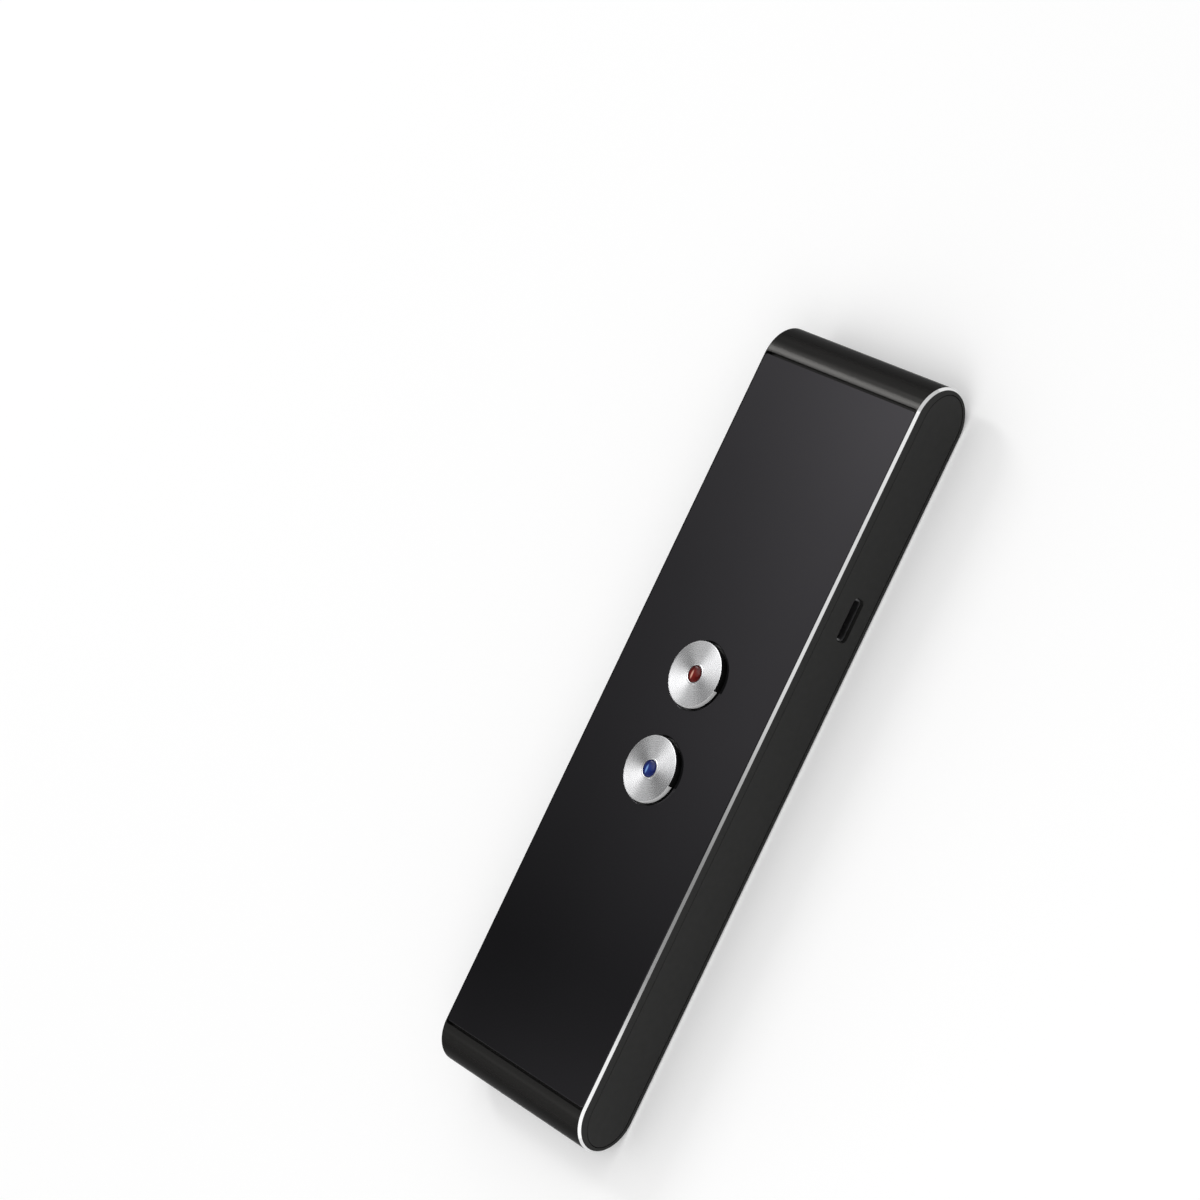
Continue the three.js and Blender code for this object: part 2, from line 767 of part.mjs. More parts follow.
function endCores() {
  const inner = blockStart + coreWall;
  const outer = flatHalf;
  const half = frameScrewX - frameScrewRadius - screwHoleGap - coreWall;
  const height = [frameFloorTop + coreFloor, cavityTop + overrun];
  return [
    block([-half, half], [inner, outer], height),
    block([-half, half], [-outer, -inner], height),
  ];
}

function screwHoles() {
  const seat = recessFloor - frameScrewHeadSink - frameScrewHeadHeight;
  const frameTip = seat - frameScrewLength - screwTipRoom;
  const boardTip = boardTop - boardScrewLength - screwTipRoom;
  const holes = [];
  for (const [i, j] of corners) {
    const frameHole = [frameTip, cavityTop + overrun];
    const boardHole = [boardTip, boardBottom + overrun];
    holes.push(upright(frameScrewRadius + screwHoleGap, frameHole, i * frameScrewX, j * frameScrewY));
    holes.push(upright(boardScrewRadius + screwHoleGap, boardHole, i * boardScrewX, j * boardScrewY));
  }
  return holes;
}

function innerFrame() {
  let shape = cavityFill([-frameSide, frameSide], frameGap);
  const aboveBoard = [boardBottom, cavityTop + overrun];
  shape = shape.subtract(block([-side, side], [-blockStart, blockStart], aboveBoard));
  for (const cut of [...frameCuts(), ...endCores(), ...screwHoles()]) {
    shape = shape.subtract(cut);
  }
  const fulcrumX = [sideKeyBack + fulcrumGap, sideKeyBack + sideKeyRoom + overrun];
  const fulcrumZ = [sideKeyZ - rockerHeight / 2, boardBottom];
  shape = shape.add(block(fulcrumX, about(rockerY, fulcrumWidth), fulcrumZ));
  return piece('inner_frame', shape, looks.frame);
}

// Main board and its chips

function mainBoard() {
  let shape = slab(2 * boardSide, 2 * boardEnd, boardCornerRadius, [0, boardThickness]);
  for (const [i, j] of corners) {
    const hole = upright(
      boardScrewRadius + screwHoleGap,
      [-overrun, boardThickness + overrun],
      i * boardScrewX,
      j * boardScrewY,
    );
    shape = shape.subtract(hole);
  }
  const mesh = piece('main_board', shape, looks.board);
  mesh.position.z = boardBottom;
  return mesh;
}

function chip(name, [width, length, height], [x, y], look = looks.chip) {
  const mesh = piece(name, block(about(0, width), about(0, length), [0, height]), look);
  mesh.position.set(x, y, boardTop);
  return mesh;
}

// The middle of each length when all of them share a stretch with equal gaps
function spread(lengths, start, end) {
  const total = lengths.reduce((sum, length) => sum + length, 0);
  const gap = (end - start - total) / (lengths.length + 1);
  let edge = start;
  return lengths.map((length) => {
    const middle = edge + gap + length / 2;
    edge += gap + length;
    return middle;
  });
}

function chips() {
  const processor = [processorSide, processorSide, processorHeight];
  const memory = [memoryWidth, memoryLength, memoryHeight];
  const power = [powerChipSide, powerChipSide, powerChipHeight];
  const amplifier = [amplifierSide, amplifierSide, amplifierHeight];
  const radio = [radioSide, radioSide, radioHeight];
  const antenna = [antennaWidth, antennaLength, antennaHeight];
  const antennaX = boardSide - antennaEdgeInset - antennaWidth / 2;
  return [
    chip('processor_chip', processor, [0, processorY]),
    chip('memory_chip', memory, [0, memoryY]),
    chip('power_chip', power, [0, -powerChipY]),
    chip('audio_amplifier', amplifier, [0, -amplifierY]),
    chip('radio_chip', radio, [0, -radioY]),
    chip('chip_antenna', antenna, [antennaX, boardEnd - antennaFromBoardEnd], looks.ceramic),
  ];
}

function radioShield() {
  const outer = shieldSide;
  const inner = outer - 2 * shieldWall;
  const height = radioHeight + shieldRoom + shieldWall;
  const box = block(about(0, outer), about(0, outer), [0, height]);
  const hollow = block(about(0, inner), about(0, inner), [-overrun, height - shieldWall]);
  const mesh = piece('radio_shield', box.subtract(hollow), looks.steel);
  mesh.position.set(0, -radioY, boardTop);
  return mesh;
}

// Micro-USB receptacle: the origin is in the middle of its mouth

function usbReceptacle() {
  const group = new THREE.Group();
  group.position.set(usbFront, usbY, usbZ);
  const innerWidth = usbWidth - 2 * usbShellWall;
  const innerHeight = usbHeight - 2 * usbShellWall;
  const innerRadius = usbCornerRadius - usbShellWall;
  const shell = sideways(usbWidth, usbHeight, usbCornerRadius, [-usbDepth, 0], 0, 0);
  const bore = sideways(innerWidth, innerHeight, innerRadius, [-usbDepth - overrun, overrun], 0, 0);
  group.add(piece('usb_shell', shell.subtract(bore), looks.steel));
  const backWidth = innerWidth - 2 * usbInsertGap;
  const backHeight = innerHeight - 2 * usbInsertGap;
  const backSpan = [-usbDepth, usbBackThickness - usbDepth];
  const back = sideways(backWidth, backHeight, innerRadius, backSpan, 0, 0);
  const tongueX = [-usbDepth + usbBackThickness / 2, -usbTongueSetback];
  const tongue = block(tongueX, about(0, usbTongueWidth), about(innerHeight / 4, usbTongueThickness));
  group.add(piece('usb_contact_insert', back.add(tongue), looks.black));
  return group;
}

// Battery

function cell() {
  const width = cellRight - cellLeft;
  const length = cellTop - cellBottom;
  const outline = roundedRectangle(length, cellThickness, cellThickness * cellCornerShare);
  const shape = solid(across(outline, about(0, width), 0));
  const mesh = piece('battery_cell', shape, looks.cell);
  mesh.position.set(cellX, cellY, cellFloor + cellThickness / 2);
  return mesh;
}

function cellTape() {
  const width = cellRight - cellLeft - 2 * tapeInset;
  const length = cellTop - cellBottom - 2 * tapeInset;
  const shape = block(about(0, width), about(0, length), [0, tapeThickness]);
  const mesh = piece('battery_tape', shape, looks.tape);
  mesh.position.set(cellX, cellY, frameFloorTop);
  return mesh;
}

function protectionBoard() {
  const width = cellRight - cellLeft - 2 * protectionInset;
  const shape = block(about(0, width), [0, protectionLength], about(0, protectionThickness));
  const mesh = piece('cell_protection_board', shape, looks.board);
  mesh.position.set(cellX, cellTop + protectionGap, cellFloor + cellThickness / 2);
  return mesh;
}

function batteryConnector() {
  const span = [-connectorHeight, 0];
  const shape = block(about(0, connectorWidth), about(0, connectorLength), span);
  const mesh = piece('battery_connector', shape, looks.ceramic);
  mesh.position.set(cellX, connectorY, boardBottom);
  return mesh;
}

// A round lead from the cell's protection board to the connector, inside the frame
function batteryLead(name, sideOfPair, look) {
  const x = cellX + sideOfPair * leadSpread;
  const startY = cellTop + protectionGap + protectionLength + leadEndGap;
  const endY = connectorY - connectorLength / 2 - leadEndGap;
  const startZ = cellFloor + cellThickness / 2;
  const endZ = boardBottom - connectorHeight / 2;
  const bend = (endY - startY) / 2;
  const route = new THREE.CubicBezierCurve3(
    new THREE.Vector3(x, startY, startZ),
    new THREE.Vector3(x, startY + bend, startZ),
    new THREE.Vector3(x, endY - bend, endZ),
    new THREE.Vector3(x, endY, endZ),
  );
  const section = new THREE.Shape();
  for (let i = 0; i < leadSides; i += 1) {
    const angle = (2 * Math.PI * i) / leadSides;
    const point = [leadRadius * Math.cos(angle), leadRadius * Math.sin(angle)];
    if (i === 0) {
      section.moveTo(...point);
    } else {
      section.lineTo(...point);
    }
  }
  const tube = new THREE.ExtrudeGeometry(section, { steps: leadSteps, extrudePath: route });
  return piece(name, solid(tube), look);
}

// Speaker

function speakerBody() {
  const height = speakerTop - speakerBottom;
  let shape = slab(speakerWidth, speakerLength, speakerCornerRadius, [0, height - speakerMagnetRise]);
  shape = shape.add(upright(speakerMagnetRadius, [0, height], 0, 0, roundSteps));
  const mesh = piece('speaker', shape, looks.black);
  mesh.position.set(0, speakerY, speakerBottom);
  return mesh;
}

function speakerSeal() {
  const radius = speakerCornerRadius;
  let shape = slab(speakerWidth, speakerLength, radius, [0, sealThickness]);
  const inner = [speakerWidth - 2 * sealWidth, speakerLength - 2 * sealWidth, radius - sealWidth];
  shape = shape.subtract(slab(...inner, [-overrun, sealThickness + overrun]));
  const mesh = piece('speaker_seal', shape, looks.rubber);
  mesh.position.set(0, speakerY, backWall);
  return mesh;
}

// A bent leaf that carries current from the board down to the speaker
function speakerContact(name, sideOfPair) {
  const height = boardBottom - speakerTop + speakerMagnetRise;
  const reach = contactReach;
  const strip = contactStrip;
  const leaf = new THREE.Shape();
  leaf.moveTo(0, 0);
  leaf.lineTo(reach, 0);
  leaf.lineTo(reach, strip);
  leaf.lineTo(strip, strip);
  leaf.lineTo(strip, height - strip);
  leaf.lineTo(reach, height - strip);
  leaf.lineTo(reach, height);
  leaf.lineTo(0, height);
  const shape = solid(across(leaf, about(0, contactWidth), 0));
  const mesh = piece(name, shape, looks.brass);
  const contactX = speakerMagnetRadius + contactGap + contactWidth / 2;
  mesh.position.set(sideOfPair * contactX, speakerY, speakerTop - speakerMagnetRise);
  return mesh;
}

// Microphone

function microphone() {
  const shape = block(about(0, micWidth), about(0, micLength), [-micHeight, 0]);
  const mesh = piece('microphone', shape, looks.steel);
  mesh.position.set(0, micY, boardBottom);
  return mesh;
}

function microphoneBoot() {
  const height = boardBottom - micHeight - backWall;
  const tube = upright(bootRadius, [0, height]);
  const bore = upright(micHoleRadius, [-overrun, height + overrun]);
  const mesh = piece('microphone_boot', tube.subtract(bore), looks.rubber);
  mesh.position.set(0, micY, backWall);
  return mesh;
}

// Screws: the origin is under the head, and the head has a cross recess

function screw(name, { radius, length, headRadius, headHeight }, [x, y, z]) {
  const profile = [
    [0, -length],
    [radius, -length],
    [radius, 0],
    [headRadius, 0],
    [headRadius, headHeight],
    [0, headHeight],
  ];
  let shape = turned(profile, boreSteps);
  const arm = about(0, headRadius);
  const slot = about(0, screwSlotWidth);
  const depth = [headHeight - screwSlotDepth, headHeight + overrun];
  shape = shape.subtract(block(arm, slot, depth)).subtract(block(slot, arm, depth));
  const mesh = piece(name, shape, looks.steel);
  mesh.position.set(x, y, z);
  return mesh;
}

function screws() {
  const seat = recessFloor - frameScrewHeadSink - frameScrewHeadHeight;
  const frameScrew = {
    radius: frameScrewRadius,
    length: frameScrewLength,
    headRadius: frameScrewHeadRadius,
    headHeight: frameScrewHeadHeight,
  };
  const boardScrew = {
    radius: boardScrewRadius,
    length: boardScrewLength,
    headRadius: boardScrewHeadRadius,
    headHeight: boardScrewHeadHeight,
  };
  return corners.flatMap(([i, j], index) => [
    screw(`frame_screw_${index + 1}`, frameScrew, [i * frameScrewX, j * frameScrewY, seat]),
    screw(`board_screw_${index + 1}`, boardScrew, [i * boardScrewX, j * boardScrewY, boardTop]),
  ]);
}

const translator = new THREE.Group();
translator.add(sleeve(), leftPlate(), rightPlate(), frontPanel(), panelFilm());
translator.add(talkKey('red', keyPitch / 2, looks.redLens));
translator.add(talkKey('blue', -keyPitch / 2, looks.blueLens));
translator.add(powerKey(), volumeRocker());
translator.add(innerFrame(), mainBoard(), ...chips(), radioShield());
translator.add(frontSwitch('red_key_switch', keyPitch / 2));
translator.add(frontSwitch('blue_key_switch', -keyPitch / 2));
translator.add(lamp('red_led', keyPitch / 2, looks.redLens));
translator.add(lamp('blue_led', -keyPitch / 2, looks.blueLens));
translator.add(sideSwitch('power_switch', powerKeyY));
translator.add(sideSwitch('volume_up_switch', rockerSwitchPlaces.up));
translator.add(sideSwitch('volume_down_switch', rockerSwitchPlaces.down));
translator.add(usbReceptacle(), cell(), cellTape(), protectionBoard(), batteryConnector());
translator.add(batteryLead('battery_lead_red', 1, looks.redLead));
translator.add(batteryLead('battery_lead_black', -1, looks.blackLead));
translator.add(speakerBody(), speakerSeal());
translator.add(speakerContact('speaker_contact_left', -1), speakerContact('speaker_contact_right', 1));
translator.add(microphone(), microphoneBoot(), ...screws());

export default translator;
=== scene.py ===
# Handheld translator: the pieces that show and their finishes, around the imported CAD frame.
# The frame's axes: x across, y to the top end, z to the front. Sizes are millimetres, or as a note says.

from math import atan2, cos, degrees, pi, radians, sin

import bmesh
import bpy
from mathutils import Matrix, Vector


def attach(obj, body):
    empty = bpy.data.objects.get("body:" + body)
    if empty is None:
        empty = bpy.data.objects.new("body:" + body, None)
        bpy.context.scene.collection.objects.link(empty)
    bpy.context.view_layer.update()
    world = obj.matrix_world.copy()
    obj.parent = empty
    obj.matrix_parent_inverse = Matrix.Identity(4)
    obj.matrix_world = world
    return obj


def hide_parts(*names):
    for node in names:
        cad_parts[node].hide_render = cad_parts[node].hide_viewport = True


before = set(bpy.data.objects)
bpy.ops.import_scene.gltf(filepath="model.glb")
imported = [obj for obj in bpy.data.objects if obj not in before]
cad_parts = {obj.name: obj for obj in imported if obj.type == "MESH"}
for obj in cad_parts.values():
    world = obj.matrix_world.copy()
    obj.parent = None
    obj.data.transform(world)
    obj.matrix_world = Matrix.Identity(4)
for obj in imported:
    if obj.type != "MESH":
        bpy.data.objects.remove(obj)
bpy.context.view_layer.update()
print("frame loaded,", len(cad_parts), "CAD nodes")

millimetre = 0.001  # in Blender's metres
front = 12.0  # the body's thickness, which heights are counted from
keyPlaces = {"red": 8.8, "blue": -8.8}  # the talk keys' middles along y


def addObject(name, data):
    made = bpy.data.objects.new(name, data)
    bpy.context.collection.objects.link(made)
    return made


# Camera at the photograph's angle

view = {
    "place": (0.44024, 0.02285, 0.46010),  # metres
    "turn": (23.6572, 41.1130, 34.8984),  # degrees
    "lens": 112.082,
    "sensor": 36,
    "nearest": 0.01,  # metres
}


def makeCamera(values):
    data = bpy.data.cameras.new("photoCamera")
    data.lens = values["lens"]
    data.sensor_width = values["sensor"]
    data.clip_start = values["nearest"]
    camera = addObject("photoCamera", data)
    camera.location = values["place"]
    camera.rotation_euler = [radians(angle) for angle in values["turn"]]
    bpy.context.scene.camera = camera


makeCamera(view)
bpy.context.scene.view_settings.view_transform = "Standard"
print("camera set")


# Finishes

noiseLow, noiseHigh = 0.3, 0.7  # most of a noise texture's values lie between these
mottleScale = 0.12  # a coat's mottle against its grain
toneScale = 0.2  # a brushed metal's change of tone against its lines


def grey(tone):
    return tone, tone, tone


def startFinish(name, **surface):
    material = bpy.data.materials.new(name)
    material.use_nodes = True
    shader = material.node_tree.nodes["Principled BSDF"]
    for socket, value in surface.items():
        shader.inputs[socket.replace("_", " ")].default_value = value
    return material, material.node_tree, shader


def addNode(tree, kind, settings=None, **sockets):
    made = tree.nodes.new("ShaderNode" + kind)
    for name, value in (settings or {}).items():
        setattr(made, name, value)
    for name, value in sockets.items():
        setSocket(tree, made.inputs[name.replace("_", " ")], value)
    return made


# Links a socket to another node's output, or gives it a plain value
def setSocket(tree, socket, value):
    if isinstance(value, bpy.types.NodeSocket):
        tree.links.new(value, socket)
    else:
        socket.default_value = value


# Object coordinates in metres, moved to the given middle, stretched and turned
def placedCoordinates(tree, scale=(1, 1, 1), middle=(0, 0, 0), turn=(0, 0, 0)):
    coordinates = addNode(tree, "TexCoord")
    moved = addNode(tree, "Mapping", Vector=coordinates.outputs["Object"],
                    Location=[-part * millimetre for part in middle])
    return addNode(tree, "Mapping", Vector=moved.outputs["Vector"], Scale=scale,
                   Rotation=turn).outputs["Vector"]


def noise(tree, vector, scale, detail=2, roughness=0.5):
    return addNode(tree, "TexNoise", Vector=vector, Scale=scale, Detail=detail,
                   Roughness=roughness).outputs["Fac"]


def remap(tree, value, low, high, fromLow=noiseLow, fromHigh=noiseHigh):
    return addNode(tree, "MapRange", Value=value, From_Min=fromLow, From_Max=fromHigh, To_Min=low,
                   To_Max=high).outputs["Result"]


def calculate(tree, operation, first, second):
    made = addNode(tree, "Math", {"operation": operation})
    setSocket(tree, made.inputs[0], first)
    setSocket(tree, made.inputs[1], second)
    return made.outputs["Value"]


def vectorMath(tree, operation, first, second):
    made = addNode(tree, "VectorMath", {"operation": operation})
    setSocket(tree, made.inputs[0], first)
    setSocket(tree, made.inputs[1], second)
    return made.outputs


def blendColours(tree, value, first, second):
    ramp = addNode(tree, "ValToRGB", Fac=value)
    for step, place, colour in zip(ramp.color_ramp.elements, (noiseLow, noiseHigh), (first, second)):
        step.position = place
        step.color = (*colour, 1)
    return ramp.outputs["Color"]


def bump(tree, shader, height, strength, depth):
    made = addNode(tree, "Bump", Height=height, Strength=strength, Distance=depth * millimetre)
    tree.links.new(made.outputs["Normal"], shader.inputs["Normal"])


# A moulded or coated surface: fine grain, with slight changes of tone and gloss
def grainedFinish(name, dark, light, gloss, grain, depth, strength=0.3, **surface):
    material, tree, shader = startFinish(name, **surface)
    plain = placedCoordinates(tree)
    mottle = noise(tree, plain, grain * mottleScale, detail=4)
    fine = noise(tree, plain, grain, detail=3, roughness=0.6)
    tree.links.new(blendColours(tree, mottle, dark, light), shader.inputs["Base Color"])
    tree.links.new(remap(tree, mottle, *gloss), shader.inputs["Roughness"])
    bump(tree, shader, fine, strength, depth)
    return material


# A metal with fine lines along one axis
def brushedFinish(name, dark, light, gloss, stretch, depth, strength=0.3, **surface):
    material, tree, shader = startFinish(name, **surface)
    lines = noise(tree, placedCoordinates(tree, stretch), scale=1, detail=3, roughness=0.65)
    wide = noise(tree, placedCoordinates(tree, [part * toneScale for part in stretch]), scale=1)
    tree.links.new(blendColours(tree, wide, dark, light), shader.inputs["Base Color"])
    tree.links.new(remap(tree, lines, *gloss), shader.inputs["Roughness"])
    bump(tree, shader, lines, strength, depth)
    return material


turnedLook = {
    "dark": (0.62, 0.62, 0.63),
    "light": (0.72, 0.72, 0.73),
    "unevenScale": 300,
    "gloss": (0.265, 0.3),
    "ringScale": 800,
    "ringWobble": 0.3,
    "anisotropy": 0.88,
    "anisotropyTurn": 0.25,
    "bump": 0.04,
    "bumpDepth": 0.004,
}


# Turned aluminium: rings about the key's middle
def turnedFinish(name, look, y):
    material, tree, shader = startFinish(name, Metallic=1, Anisotropic=look["anisotropy"],
                                         Anisotropic_Rotation=look["anisotropyTurn"])
    centred = placedCoordinates(tree, middle=(0, y, 0))
    rings = addNode(tree, "TexWave", {"wave_type": "RINGS", "rings_direction": "Z"}, Vector=centred,
                    Scale=look["ringScale"], Distortion=look["ringWobble"], Detail=1).outputs["Fac"]
    uneven = noise(tree, centred, look["unevenScale"], detail=3)
    tree.links.new(blendColours(tree, uneven, look["dark"], look["light"]), shader.inputs["Base Color"])
    tree.links.new(remap(tree, rings, *look["gloss"], 0, 1), shader.inputs["Roughness"])
    tangent = addNode(tree, "Tangent", {"direction_type": "RADIAL", "axis": "Z"})
    tree.links.new(tangent.outputs["Tangent"], shader.inputs["Tangent"])
    bump(tree, shader, rings, look["bump"], look["bumpDepth"])
    return material


# How far a point is from the middle of stretched coordinates, seen from the front
def distance(tree, vector):
    flat = vectorMath(tree, "MULTIPLY", vector, (1, 1, 0))["Vector"]
    return vectorMath(tree, "LENGTH", flat, (0, 0, 0))["Value"]


lensLook = {
    "gloss": 0.16,
    "refraction": 1.49,
    "shine": 0.12,
    "middle": (-0.1, -0.2),  # the painted paler middle's place, from the lens's axis
    "middleReach": (0.0004, 0.0015),  # metres, from the middle's colour to the rim's
    "mottleScale": 2600,
    "mottle": 0.12,
    "highlightBarPlace": (-0.38, -0.25),
    "highlightBarSqueeze": (4, 1.2, 1),
    "highlightBarTurn": -35,  # degrees
    "highlightBarReach": (0.0005, 0.0011),  # metres, squeezed, from the painted highlight bar's colour to none
    "bumpScale": 900,
    "bump": 0.15,
    "bumpDepth": 0.01,
}


# Lens: mottled, with painted light: a paler middle and a deeper rim stand in for light through the dome, and
# the lamp colour is a painted highlight bar
def lensFinish(name, look, y, rim, middle, lamp):
    material, tree, shader = startFinish(name, Roughness=look["gloss"], IOR=look["refraction"],
                                         Specular_IOR_Level=look["shine"])
    centred = placedCoordinates(tree, middle=(look["middle"][0], y + look["middle"][1], 0))
    mottle = remap(tree, noise(tree, centred, look["mottleScale"]), -look["mottle"], look["mottle"])
    # Painted light: paler towards the middle, and painted shade deeper towards the rim
    reach = remap(tree, distance(tree, centred), noiseLow, noiseHigh, *look["middleReach"])
    body = blendColours(tree, calculate(tree, "ADD", reach, mottle), middle, rim)
    highlightBar = placedCoordinates(tree, look["highlightBarSqueeze"], (look["highlightBarPlace"][0], y + look["highlightBarPlace"][1], 0),
                            (0, 0, radians(look["highlightBarTurn"])))
    # Painted highlight: a pale bar mixed into the lens's colour, in the lamp colour
    glow = remap(tree, distance(tree, highlightBar), 1, 0, *look["highlightBarReach"])
    mixed = addNode(tree, "Mix", {"data_type": "RGBA"}, Factor=glow)
    setSocket(tree, mixed.inputs[6], body)
    setSocket(tree, mixed.inputs[7], (*lamp, 1))
    tree.links.new(mixed.outputs[2], shader.inputs["Base Color"])
    bump(tree, shader, noise(tree, centred, look["bumpScale"]), look["bump"], look["bumpDepth"])
    return material


# Solder mask over faint copper tracks
def boardFinish():
    material, tree, shader = startFinish("boardGreen", Coat_Weight=0.3, Coat_Roughness=0.15)
    plain = placedCoordinates(tree)
    tracks = addNode(tree, "TexBrick", {"offset": 0.35}, Vector=plain, Scale=420, Mortar_Size=0.09,
                     Color1=(0.012, 0.075, 0.03, 1), Color2=(0.016, 0.09, 0.036, 1),
                     Mortar=(0.03, 0.16, 0.06, 1))
    tree.links.new(tracks.outputs["Color"], shader.inputs["Base Color"])
    gloss = remap(tree, noise(tree, plain, scale=900, detail=3), low=0.3, high=0.45)
    tree.links.new(gloss, shader.inputs["Roughness"])
    bump(tree, shader, tracks.outputs["Fac"], strength=0.3, depth=0.02)
    return material


# Each finish: its darker and its lighter colour, its range of gloss, and the scale and depth of its grain
def makeFinishes():
    return {
        "anodised": brushedFinish(
            "anodisedBlack", (0.029, 0.0284, 0.0276), (0.0356, 0.0347, 0.0337), gloss=(0.17, 0.24),
            stretch=(60, 5200, 5200), depth=0.004, Metallic=0.6, Specular_IOR_Level=0.03,
            Specular_Tint=(*grey(0.12), 1)),
        "diamondCut": brushedFinish(
            "diamondCut", grey(0.85), grey(0.89), gloss=(0.05, 0.07), stretch=(900, 2600, 900), depth=0.001,
            strength=0.02, Metallic=1),
        "gloss": grainedFinish(
            "glossBlack", (0.0045, 0.0045, 0.005), (0.006, 0.006, 0.0066), gloss=(0.04, 0.07), grain=160,
            depth=0.001, strength=0.04, IOR=1.5, Specular_Tint=(0.96, 0.91, 1, 1)),
        "plate": grainedFinish(
            "sidePlateBlack", (0.009, 0.009, 0.0085), (0.0118, 0.0118, 0.0111), gloss=(0.52, 0.66),
            grain=5200, depth=0.008, strength=0.4, Specular_IOR_Level=0.3),
        "redTurned": turnedFinish("turnedSilverRed", turnedLook, keyPlaces["red"]),
        "blueTurned": turnedFinish("turnedSilverBlue", turnedLook, keyPlaces["blue"]),
        # Painted highlight: the pale lip on a key's flank stands for its lit side
        "paintedLitLip": brushedFinish(
            "lipPaintedHighlight", grey(0.74), grey(0.82), gloss=(0.4, 0.5), stretch=(400, 400, 9000), depth=0.002,
            strength=0.1, Metallic=0.1),
        # Painted shade: the black on a key's flank stands for its shaded side and a dark reflection
        "paintedShadeFlank": grainedFinish(
            "flankPaintedShade", grey(0.004), grey(0.006), gloss=(0.3, 0.4), grain=3000, depth=0.003,
            strength=0.2, Specular_IOR_Level=0.3),
        # Each lens's lamp colour is the colour of a painted highlight bar on its surface
        "redLens": lensFinish(
            "redLensPlastic", lensLook, keyPlaces["red"], rim=(0.05, 0.004, 0.004),
            middle=(0.17, 0.014, 0.011), lamp=(0.68, 0.36, 0.28)),
        "blueLens": lensFinish(
            "blueLensPlastic", lensLook, keyPlaces["blue"], rim=(0.008, 0.012, 0.08),
            middle=(0.016, 0.034, 0.19), lamp=(0.20, 0.36, 0.70)),
        "plunger": grainedFinish(
            "plungerBlack", grey(0.006), grey(0.009), gloss=(0.24, 0.34), grain=3000, depth=0.004),
        "satin": brushedFinish(
            "satinKey", (0.40, 0.40, 0.41), (0.48, 0.48, 0.49), gloss=(0.34, 0.44),
            stretch=(2600, 300, 2600), depth=0.005, Metallic=1),
        "frame": grainedFinish(
            "framePlastic", (0.012, 0.0125, 0.013), (0.019, 0.020, 0.021), gloss=(0.5, 0.68), grain=2600,
            depth=0.02),
        "portSteel": brushedFinish(
            "portSteel", (0.24, 0.24, 0.245), (0.30, 0.30, 0.305), gloss=(0.42, 0.52),
            stretch=(500, 3000, 500), depth=0.004, Metallic=1),
        "steel": brushedFinish(
            "tinnedSteel", (0.50, 0.50, 0.51), (0.62, 0.62, 0.63), gloss=(0.24, 0.38),
            stretch=(500, 3000, 500), depth=0.004, Metallic=1),
        "chip": grainedFinish(
            "chipBlack", (0.010, 0.010, 0.011), (0.017, 0.017, 0.018), gloss=(0.45, 0.6), grain=4200,
            depth=0.012),
        "ceramic": grainedFinish(
            "ceramicWhite", (0.70, 0.68, 0.62), (0.78, 0.76, 0.71), gloss=(0.4, 0.55), grain=2500,
            depth=0.01),
        "foil": brushedFinish(
            "cellFoil", (0.42, 0.43, 0.45), (0.55, 0.56, 0.58), gloss=(0.3, 0.45), stretch=(180, 700, 180),
            depth=0.02, Metallic=0.7),
        "tape": grainedFinish(
            "tapeTan", (0.56, 0.50, 0.37), (0.66, 0.60, 0.47), gloss=(0.6, 0.8), grain=1500, depth=0.015),
        "rubber": grainedFinish(
            "sealRubber", grey(0.010), grey(0.016), gloss=(0.75, 0.92), grain=2200, depth=0.02),
        "film": grainedFinish(
            "adhesiveFilm", grey(0.010), (0.016, 0.016, 0.015), gloss=(0.6, 0.8), grain=900, depth=0.01),
        "brass": brushedFinish(
            "contactBrass", (0.48, 0.31, 0.10), (0.58, 0.40, 0.15), gloss=(0.22, 0.34),
            stretch=(2400, 300, 300), depth=0.004, Metallic=1),
        "redLead": grainedFinish(
            "leadRed", (0.34, 0.012, 0.012), (0.42, 0.02, 0.018), gloss=(0.35, 0.5), grain=1800, depth=0.01),
        "blackLead": grainedFinish(
            "leadBlack", grey(0.008), grey(0.013), gloss=(0.35, 0.5), grain=1800, depth=0.01),
        "board": boardFinish(),
    }


finish = makeFinishes()
print("finishes made:", len(finish))


# Modelling helpers

closeBy = 0.001  # points nearer than this count as one place
past = 1  # how far a cutter reaches beyond what it cuts
sharpAngle = 32  # degrees, from which an edge is shaded as a crease
broadFace = 18  # square millimetres, from which a flat face keeps its own straight shading


# A profile of radius and z, spun about a line along z
def turned(points, x=0, y=0, steps=96):
    shape = bmesh.new()
    verts = [shape.verts.new((radius, 0, z)) for radius, z in points]
    edges = [shape.edges.new(pair) for pair in zip(verts, verts[1:])]
    bmesh.ops.spin(shape, geom=verts + edges, axis=(0, 0, 1), angle=2 * pi, steps=steps, use_merge=True)
    bmesh.ops.remove_doubles(shape, verts=shape.verts, dist=closeBy / 10)
    bmesh.ops.translate(shape, vec=(x, y, 0), verts=shape.verts)
    bmesh.ops.recalc_face_normals(shape, faces=shape.faces)
    return shape


def bevelEdges(shape, edges, size, segments):
    bmesh.ops.bevel(shape, geom=list(edges), offset=size, offset_type="OFFSET", segments=segments,
                    profile=0.5, affect="EDGES", material=-1, clamp_overlap=False)


# Edges that lie on one circle about a key's axis
def ringEdges(shape, radius, z, y):
    def onRing(vert):
        flat = Vector((vert.co.x, vert.co.y - y)).length
        return abs(flat - radius) < 2 * closeBy and abs(vert.co.z - z) < 2 * closeBy
    return [edge for edge in shape.edges if onRing(edge.verts[0]) and onRing(edge.verts[1])]


